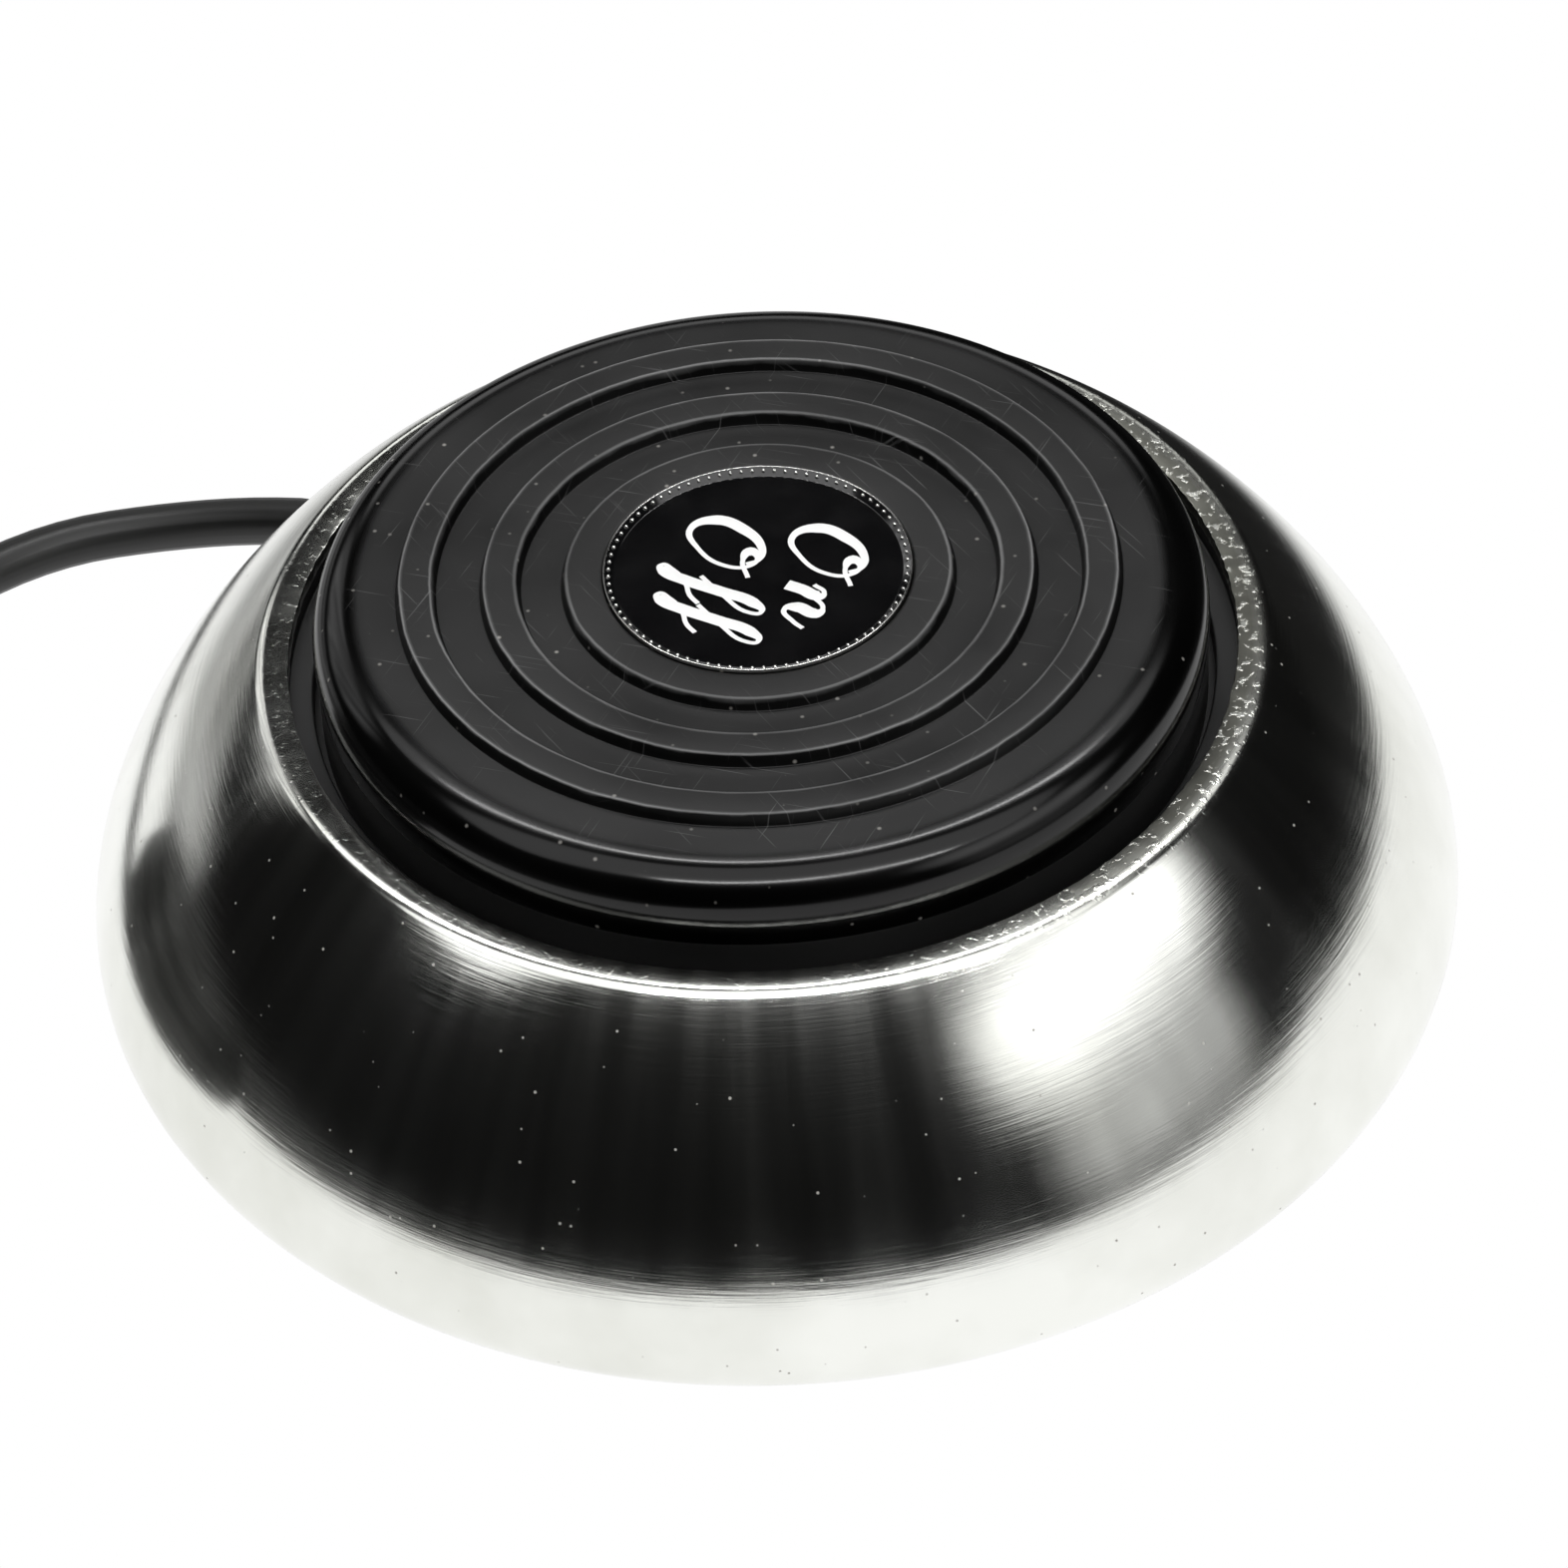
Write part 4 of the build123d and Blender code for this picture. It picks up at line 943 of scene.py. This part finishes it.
@dataclass(frozen=True)
class Badge:
    """Stamped badge: thin bright edge, beads on a steep dark border, gloss field, plain words, in mm."""

    r: float = 11.84
    low_z: float = 37.3
    high_z: float = 38.75
    rim: float = 0.13
    bevel: float = 0.62
    field_z: float = 37.9
    face_z: float = 38.3
    beads: int = 84
    bead_r: float = 0.17
    segments: int = 240
    lean_deg: float = -96.0
    cap: float = 5.8
    stretch: float = 1.3
    slant: float = 0.25
    pen_thin: float = 0.065
    pen_thick: float = 0.19
    ink_flat: float = 0.05
    ink_lift: float = 0.008

    def build(self) -> None:
        """Build the dish, the field, its beads and the words."""
        face_r = self.r - self.rim - self.bevel
        inner = self.r - self.rim
        dish = [(0.0, self.low_z), (self.r, self.low_z), (self.r, self.high_z, 0.06)]
        dish += [(inner, self.high_z, 0.04), (inner, self.high_z - 0.1)]
        dish += [(face_r, self.face_z - 0.12), (face_r, self.field_z), (0.0, self.field_z)]
        field = [(0.0, self.field_z), (face_r - 0.01, self.field_z), (face_r - 0.01, self.face_z - 0.11)]
        field += [(inner - 0.01, self.high_z - 0.09), (inner - 0.01, self.high_z - 0.03, 0.02)]
        field += [(face_r, self.face_z, 0.1), (0.0, self.face_z)]
        rows = (("badge_rim", dish, NICKEL_BADGE, "badge_metal", "badge_dish"),)
        rows += (("badge_field", field, BADGE_ENAMEL, "badge_enamel", "badge_face"),)
        for name, corners, finish, slot, node in rows:
            mesh = lathe(rounded(corners), self.segments, closed=False)
            finished(name, mesh, finish, Body.PEDAL, [node])
        self.border()
        self.word("On", 2.3)
        self.word("Off", -5.6)

    def border(self) -> None:
        """Grow the ring of beads along the sloping border."""

        def lay(on: Wires, given: Any) -> Node:
            """Put a bead on each point of a raised circle."""
            loop = on.add("GeometryNodeMeshCircle", given["Count"], given["Ring Radius"])
            lift = on.add("CombineXYZ", Z=given["Height"])
            raised = on.add("GeometryNodeTransform", loop, Translation=lift)
            bead = on.add("GeometryNodeMeshIcoSphere", given["Bead Radius"], 2)
            return on.add("GeometryNodeInstanceOnPoints", raised, Instance=bead)

        values = {
            "Count": self.beads,
            "Ring Radius": (self.r - self.rim - self.bevel * 0.45) * MM,
            "Height": (self.high_z + self.face_z + 0.05) / 2 * MM,
            "Bead Radius": self.bead_r * MM,
            "Material": NICKEL_BADGE.material(),
        }
        mesh = grown("bead_border", values, lay)
        finished("badge_beads", mesh, NICKEL_BADGE, Body.PEDAL, sharp_deg=80.0)

    def word(self, text: str, base: float) -> None:
        """Write one generic word on the field with a pointed pen.

        Args:
            text: The word.
            base: How far its base line lies to the right of the middle.
        """
        line = round_line(f"word_{text}", MM, 2)
        line.resolution_u = 7
        pen = -sum(PEN_LETTERS[letter][0] for letter in text) / 2
        for letter in text:
            wide, strokes = PEN_LETTERS[letter]
            for stroke in strokes:
                self.draw(line, [(x + pen, y) for x, y in stroke])
            pen += wide
        mesh = plain_mesh(placed(f"word_{text}", line))
        mesh.transform(Matrix.Diagonal((1.0, 1.0, self.ink_flat, 1.0)))
        turn = Matrix.Rotation(math.radians(self.lean_deg), 4, "Z")
        side = turn @ Vector((0.0, base, 0.0))
        place = Matrix.Translation(Vector((side.x * MM, side.y * MM, (self.face_z + self.ink_lift) * MM)))
        mesh.transform(place @ turn)
        finished(f"badge_word_{text.lower()}", mesh, WHITE_INK, Body.PEDAL, sharp_deg=60.0)

    def draw(self, line: bpy.types.Curve, stroke: list[Point]) -> None:
        """Add one pen stroke, thick where the pen comes down.

        Args:
            line: Curve that takes it.
            stroke: Its points, in cap heights.
        """
        spline = line.splines.new("BEZIER")
        spline.bezier_points.add(len(stroke) - 1)
        before, after = [stroke[0], *stroke[:-1]], [*stroke[1:], stroke[-1]]
        for knot, (x, y), (ax, ay), (bx, by) in zip(spline.bezier_points, stroke, before, after):
            fall = max(0.0, (ay - by) / math.hypot(bx - ax, by - ay))
            wide = self.pen_thin + (self.pen_thick - self.pen_thin) * fall**1.5
            knot.co = ((x * self.stretch + self.slant * y) * self.cap * MM, y * self.cap * MM, 0.0)
            knot.handle_left_type = knot.handle_right_type = "AUTO"
            knot.radius = wide / 2 * self.cap


@dataclass(frozen=True)
class Spring:
    """Return spring round the post, sizes in millimetres."""

    low_z: float = 5.05
    high_z: float = 28.05
    mean_r: float = 8.5
    wire_r: float = 0.8
    turns: float = 5.5
    foot_z: float = 4.2
    travel: float = 3.5

    def build(self) -> None:
        """Grow the coil."""

        def lay(on: Wires, given: Any) -> Node:
            """Draw the wire along a spiral and lift it."""
            size = (given["Turns"], given["Radius"], given["Radius"], given["Rise"])
            line = on.add("GeometryNodeCurveSpiral", 40, *size)
            wire = on.add("GeometryNodeCurvePrimitiveCircle", 12, given["Wire"])
            tube = on.add("GeometryNodeCurveToMesh", line, wire, **{"Fill Caps": True})
            lift = on.add("CombineXYZ", Z=given["Foot"])
            return on.add("GeometryNodeTransform", tube, Translation=lift)

        values = {
            "Turns": self.turns,
            "Radius": self.mean_r * MM,
            "Rise": (self.high_z - self.low_z) * MM,
            "Wire": self.wire_r * MM,
            "Foot": self.low_z * MM,
            "Material": SPRING_WIRE.material(),
        }
        mesh = grown("coil_spring", values, lay)
        spring = finished("spring_wire", mesh, SPRING_WIRE, Body.HOUSING, ["return_spring"], 60.0)
        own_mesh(spring)


@dataclass(frozen=True)
class Lead:
    """The thin lead, its put-away coil and the strap round it, in millimetres."""

    cord_r: float = 2.0
    length: float = 1800.0
    exit_r: float = 53.7
    exit_deg: float = 127.0
    exit_z: float = 6.8
    floor_z: float = 2.02
    coil_x: float = -101.02
    coil_y: float = 1.99
    coil_r: float = 23.0
    coil_z: float = 8.27
    row: float = 3.49
    per_turn: int = 20
    laps: int = 12
    first_deg: float = 2.0
    last_deg: float = 92.0
    swap_from_deg: float = 88.0
    swap_to_deg: float = 22.0
    hump: float = 0.16
    tie_deg: float = 110.0
    tie_width: float = 5.0
    tie_sheet: float = 0.6
    tie_steps: int = 96

    def nests(self) -> list[Point]:
        """Places of the twelve turns in the coil's section, each beside the one before."""
        gap = 2 * self.cord_r + 0.03
        order = ((4, -4), (0, -4), (-4, -4), (-6, -1), (-2, -1), (2, -1))
        order += ((0, 2), (-4, 2), (-2, 5), (2, 5), (4, 2), (6, -1))
        return [(u / 4 * gap, self.row * v / 3) for u, v in order]

    def start(self) -> list[Place]:
        """Route from inside the shell to the coil."""
        bore = ((38.0, 123.5), (47.0, self.exit_deg), (56.5, self.exit_deg))
        route = [polar(r, turn_deg, self.exit_z) for r, turn_deg in bore]
        lay = ((-41.82, 49.19, 2.3), (-49.92, 51.09, 0.5), (-58.32, 50.49, 0.0), (-66.42, 45.99, 0.0))
        lay += ((-72.62, 39.39, 0.0), (-75.42, 30.99, 0.1), (-75.22, 20.59, 0.6), (-74.22, 10.59, 1.3))
        return route + [(x, y, self.floor_z + lift) for x, y, lift in lay]

    def turns(self) -> list[Place]:
        """Points of the coil, wound clockwise, each turn moving over to the next nest."""
        nests = self.nests()
        # The spline cuts its corners, so its points stand out by this share.
        swell = 0.75 + 0.25 * math.cos(2 * math.pi / self.per_turn)
        sweep = 360.0 * (self.laps - 1) + self.last_deg
        count = round(sweep / 360 * self.per_turn)
        span = self.swap_from_deg - self.swap_to_deg
        points = []
        for i in range(count + 1):
            gone = i / count * sweep
            angle = self.first_deg - gone
            lap = int((gone + self.swap_to_deg - self.first_deg) // 360)
            here = nests[min(lap, self.laps - 1)]
            following = nests[min(lap + 1, self.laps - 1)]
            inside = (angle - self.swap_to_deg) % 360
            share = 1 - inside / span if inside < span else 0.0
            share = share * share * (3 - 2 * share)
            u = here[0] + (following[0] - here[0]) * share
            v = here[1] + (following[1] - here[1]) * share
            lift = 1 + self.hump * math.sin(math.pi * share) ** 2
            x, y, z = polar((self.coil_r + u) / swell, angle, self.coil_z + v * lift)
            points.append((self.coil_x + x, self.coil_y + y, z))
        return points

    def end(self) -> list[Place]:
        """Route from the coil to the plug's boot."""
        route = [(-111.02, -26.61, 6.82), (-121.02, -25.21, 6.42), (-130.02, -20.81, 6.02)]
        return route + [(-136.42, -13.21, 5.62), (-138.82, -3.61, 5.62)]

    def build(self) -> None:
        """Lay the lead as one smooth line and strap its coil."""
        line = round_line("lead", self.cord_r * MM, 4)
        route = self.start() + self.turns() + self.end()
        spline = line.splines.new("NURBS")
        spline.points.add(len(route) - 1)
        for spot, (x, y, z) in zip(spline.points, route):
            spot.co = (x * MM, y * MM, z * MM, 1.0)
        spline.order_u = 3
        spline.use_endpoint_u = True
        spline.resolution_u = 4
        line.materials.append(LEAD_PVC.material())
        lead = placed("lead_cord", line)
        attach(lead, Body.HOUSING.value)
        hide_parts("cord", "cord_coil", "cord_tail")
        strap = self.strap()
        log.info("lead_cord: %d points", len(route))

    def strap(self) -> Object:
        """Flat strap drawn round the turns at one side of the coil."""
        held = self.nests()[:-1]
        out = Vector(polar(1.0, self.tie_deg))
        along = Vector(polar(1.0, self.tie_deg + 90))
        middle = Vector((self.coil_x, self.coil_y, self.coil_z)) + out * self.coil_r
        rings = []
        half = self.tie_width / 2
        loops = ((0.05, -half), (0.05, half), (self.tie_sheet, half - 0.1), (self.tie_sheet, -half + 0.1))
        for i in range(self.tie_steps):
            way = Vector(polar(1.0, 360 * i / self.tie_steps))
            far = max(held, key=lambda nest: nest[0] * way.x + nest[1] * way.y)
            ring = []
            for reach, shift in loops:
                u = far[0] + (self.cord_r + reach) * way.x
                v = far[1] + (self.cord_r + reach) * way.y
                ring.append((middle + out * u + Vector((0, 0, v)) + along * shift) * MM)
            rings.append(ring)
        return finished("coil_strap", skinned(rings), STRAP_NYLON, Body.HOUSING, ["coil_tie"])


# Finish of every CAD node, also of those whose shape needs nothing more.
NODE_FINISHES: tuple[tuple[Finish, str], ...] = (
    (SHELL_STEEL, "shell"),
    (RING_ACETAL, "guide_ring"),
    (ZINC_SHEET, "base_plate fixing_tabs spring_seat switch_bracket"),
    (ZINC_SCREW, "base_screws bracket_rivets switch_screws anchor_screws"),
    (MAT_RUBBER, "floor_mat cord_grommet"),
    (TREAD_RUBBER, "pedal_pad"),
    (CARRIER_NYLON, "pedal_carrier"),
    (NICKEL_BADGE, "badge_dish"),
    (BADGE_ENAMEL, "badge_face"),
    (GROUND_STEEL, "guide_post lever_pin switch_lever"),
    (SPRING_WIRE, "return_spring"),
    (CASE_PHENOLIC, "switch_case"),
    (BUTTON_ACETAL, "switch_plunger"),
    (BLADE_BRASS, "switch_terminals"),
    (ANCHOR_NYLON, "cord_anchor"),
    (CORE_BLACK, "low_wire"),
    (CORE_RED, "high_wire"),
    (LEAD_PVC, "cord cord_coil cord_tail"),
    (STRAP_NYLON, "coil_tie"),
    (PLUG_PVC, "jack_boot jack_handle jack_insulator"),
    (PLUG_NICKEL, "jack_sleeve jack_tip"),
)


def dress_nodes() -> None:
    """Give every CAD node its material."""
    for finish, names in NODE_FINISHES:
        for name in names.split():
            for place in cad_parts[name].material_slots:
                place.material = finish.material()
    log.info("CAD nodes dressed: %d", len(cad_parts))


@dataclass(frozen=True)
class Lamp:
    """One soft lamp, in metres.

    Attributes:
        name: Its name.
        spot: Where it stands.
        size: Width and height of its face.
        power: Its power in watts.
        aim: Point that it faces.
    """

    name: str
    spot: Place
    size: Point
    power: float
    aim: Place = (0.0, 0.0, 0.03)

    def build(self) -> None:
        """Hang the lamp."""
        data = bpy.data.lights.new(self.name, "AREA")
        data.shape = "RECTANGLE"
        data.size, data.size_y = self.size
        data.energy = self.power
        aimed(placed(self.name, data), self.spot, self.aim)


@dataclass(frozen=True)
class Card(Lamp):
    """Soft-edged lit panel with round ends that the metal mirrors; power one is white.

    Attributes:
        soft: Share of the end's radius over which it fades out.
        folds: How dark the folds of its cloth are, from none to one.
    """

    soft: float = 0.5
    folds: float = 0.0

    def build(self) -> None:
        """Stand the panel up, facing the switch."""
        made = bmesh.new()
        bmesh.ops.create_grid(made, x_segments=1, y_segments=1, size=0.5)
        bmesh.ops.scale(made, vec=(*self.size, 1.0), verts=made.verts)
        mesh = settled(made, self.name)
        mesh.materials.append(self.material())
        panel = placed(self.name, mesh)
        aimed(panel, self.spot, self.aim)
        panel.visible_camera = False

    def material(self) -> bpy.types.Material:
        """Light that fades towards the panel's edges."""
        glow = bpy.data.materials.new(self.name)
        on = emptied(glow)
        here = on.add("TexCoord").outputs["Object"]
        split = on.add("SeparateXYZ", here)
        end_r = min(self.size) / 2
        beyond = []
        for axis, whole in zip("XY", self.size):
            far = on.add("Math.ABSOLUTE", split.outputs[axis])
            past = on.add("Math.SUBTRACT", far, whole / 2 - end_r)
            beyond.append(on.add("Math.MAXIMUM", past, 0.0))
        off = on.add("VectorMath.LENGTH", on.add("CombineXYZ", *beyond))
        light = on.add("MapRange", off, end_r * (1 - self.soft), end_r, self.power, 0.0, **SMOOTH)
        folds = on.add("Mapping", here, Rotation=(0, 0, 0.9), Scale=(26.0, 2.5, 1.0))
        crease = on.add("TexNoise", folds, 1.0, 3.0)
        shade = on.add("MapRange", crease, 0.4, 0.6, 1.0 - self.folds, 1.0)
        lit = on.add("Math.MULTIPLY", light, shade)
        shine = on.add("Emission", linear(WHITE), lit)
        on.add("OutputMaterial", on.add("AddShader", shine, on.add("BsdfTransparent")))
        return glow


@dataclass(frozen=True)
class Studio:
    """Camera, pale floor, lamps and room."""

    spot: Place = (0.0, -0.45231, 0.43273)
    right: Place = (0.99826, -0.04113, -0.04216)
    up: Place = (0.05888, 0.6763, 0.73427)
    ahead: Place = (0.00168, 0.73548, -0.67755)
    lens: float = 180.57
    lamps: tuple[Lamp, ...] = (
        Lamp("tube_front", (0.1, -0.42, 0.78), (0.8, 0.04), 2.2, (0.1, 0.0, 0.03)),
        Lamp("tube_back", (0.0, 0.36, 0.81), (0.8, 0.04), 2.2),
    )
    cards: tuple[Card, ...] = (
        Card("panel_front", (-0.17, -0.18, 0.9), (2.0, 0.66), 1.3, (-0.17, 0.0, 0.03), 0.12),
        Card("panel_back", (0.05, 0.44, 0.82), (1.3, 0.34), 1.3, (0.05, 0.0, 0.03), 0.12),
        Card("panel_behind", (0.0, 0.92, 0.40), (0.8, 0.3), 1.2, soft=0.4),
        Card("panel_right", (0.60, -0.32, 0.46), (0.88, 0.5), 2.0, soft=0.9, folds=0.25),
        Card("panel_right_low", (0.70, -0.42, 0.2), (0.7, 0.42), 0.6, soft=0.9, folds=0.4),
        Card("panel_left", (-0.52, 0.50, 0.34), (0.62, 0.5), 1.3, soft=0.4, folds=0.75),
    )
    sheet_back_mm: float = 62.0
    sheet_left_mm: float = -122.0
    dark: float = 0.012
    room_light: float = 0.005

    def build(self) -> None:
        """Set the camera, the floor, the lamps and the room's light."""
        self.camera()
        self.floor()
        for light in (*self.lamps, *self.cards):
            light.build()
        self.room()
        bpy.context.scene.view_settings.view_transform = "Standard"

    def camera(self) -> None:
        """Put the camera where the photo was taken from."""
        data = bpy.data.cameras.new("camera")
        data.sensor_width = 36.0
        data.lens = self.lens
        data.clip_start = 0.01
        data.clip_end = 20.0
        camera = placed("camera", data)
        turn = Matrix((self.right, self.up, [-a for a in self.ahead])).transposed()
        camera.matrix_world = Matrix.Translation(self.spot) @ turn.to_4x4()
        bpy.context.scene.camera = camera

    def floor(self) -> None:
        """Lay a white floor that reads as paper to the eye and in reflections."""
        made = bmesh.new()
        bmesh.ops.create_grid(made, x_segments=2, y_segments=2, size=4.0)
        mesh = settled(made, "floor")
        paper = bpy.data.materials.new("floor_paper")
        on = emptied(paper)
        path = on.add("LightPath").outputs
        seen = on.add("Math.MAXIMUM", path["Is Camera Ray"], path["Is Glossy Ray"])
        clear = on.add("Math.MAXIMUM", seen, path["Is Transmission Ray"])
        matt = on.add("BsdfDiffuse", linear("#d8d8d8"))
        level = on.add("Math.MAXIMUM", self.sheet(on), path["Is Camera Ray"])
        white = on.add("Emission", linear(WHITE), level)
        on.add("OutputMaterial", on.add("MixShader", clear, matt, white))
        mesh.materials.append(paper)
        placed("floor", mesh)

    def sheet(self, on: Wires) -> Node:
        """Light of the floor by place: a white sheet that ends behind and to the left of the switch."""
        back, left = self.sheet_back_mm, self.sheet_left_mm
        here = on.add("TexCoord").outputs["Object"]
        split = on.add("SeparateXYZ", here)
        x, y = split.outputs["X"], split.outputs["Y"]
        behind = on.add("MapRange", y, (back - 12) * MM, (back + 12) * MM, 0.0, 1.0, **SMOOTH)
        on_right = on.add("MapRange", x, -0.01, 0.03, 0.0, 1.0, **SMOOTH)
        dark_back = on.add("Math.MULTIPLY", behind, on_right)
        past = on.add("MapRange", x, (left + 10) * MM, (left - 14) * MM, 0.0, 1.0, **SMOOTH)
        lean = on.add("Math.MULTIPLY_ADD", x, 0.5, y)
        folds = on.add("Mapping", here, Rotation=(0, 0, 0.35), Scale=(2.0, 13.0, 1.0))
        crease = on.add("TexNoise", folds, 1.0, 4.0)
        broken = on.add("MapRange", crease, 0.38, 0.58, 0.0, 0.9)
        low_side = on.add("MapRange", lean, -0.05, 0.06, 0.97, broken, **SMOOTH)
        dark_left = on.add("Math.MULTIPLY", past, low_side)
        shade = on.add("MapRange", crease, 0.35, 0.65, 0.3, 0.9)
        far_left = on.add("MapRange", y, (back - 8) * MM, (back + 40) * MM, 0.0, shade, **SMOOTH)
        off = on.add("Math.MAXIMUM", far_left, dark_left)
        off = on.add("Math.MAXIMUM", dark_back, off)
        return on.add("MapRange", off, 0.0, 1.0, 1.0, self.dark)

    def room(self) -> None:
        """Give the room a dim even light, and a white backdrop to the camera."""
        world = bpy.data.worlds.new("room")
        bpy.context.scene.world = world
        on = emptied(world)
        seen = on.add("LightPath").outputs["Is Camera Ray"]
        dim = on.add("Background", linear(WHITE), self.room_light)
        white = on.add("Background", linear(WHITE), 1.0)
        on.add("OutputWorld", on.add("MixShader", seen, dim, white))


def main() -> None:
    """Build the looks piece by piece over the frame."""
    Studio().build()
    dress_nodes()
    for part in (Lead(), Shell(), Pedal(), Badge(), Spring()):
        part.build()


if __name__ == "__main__":
    main()
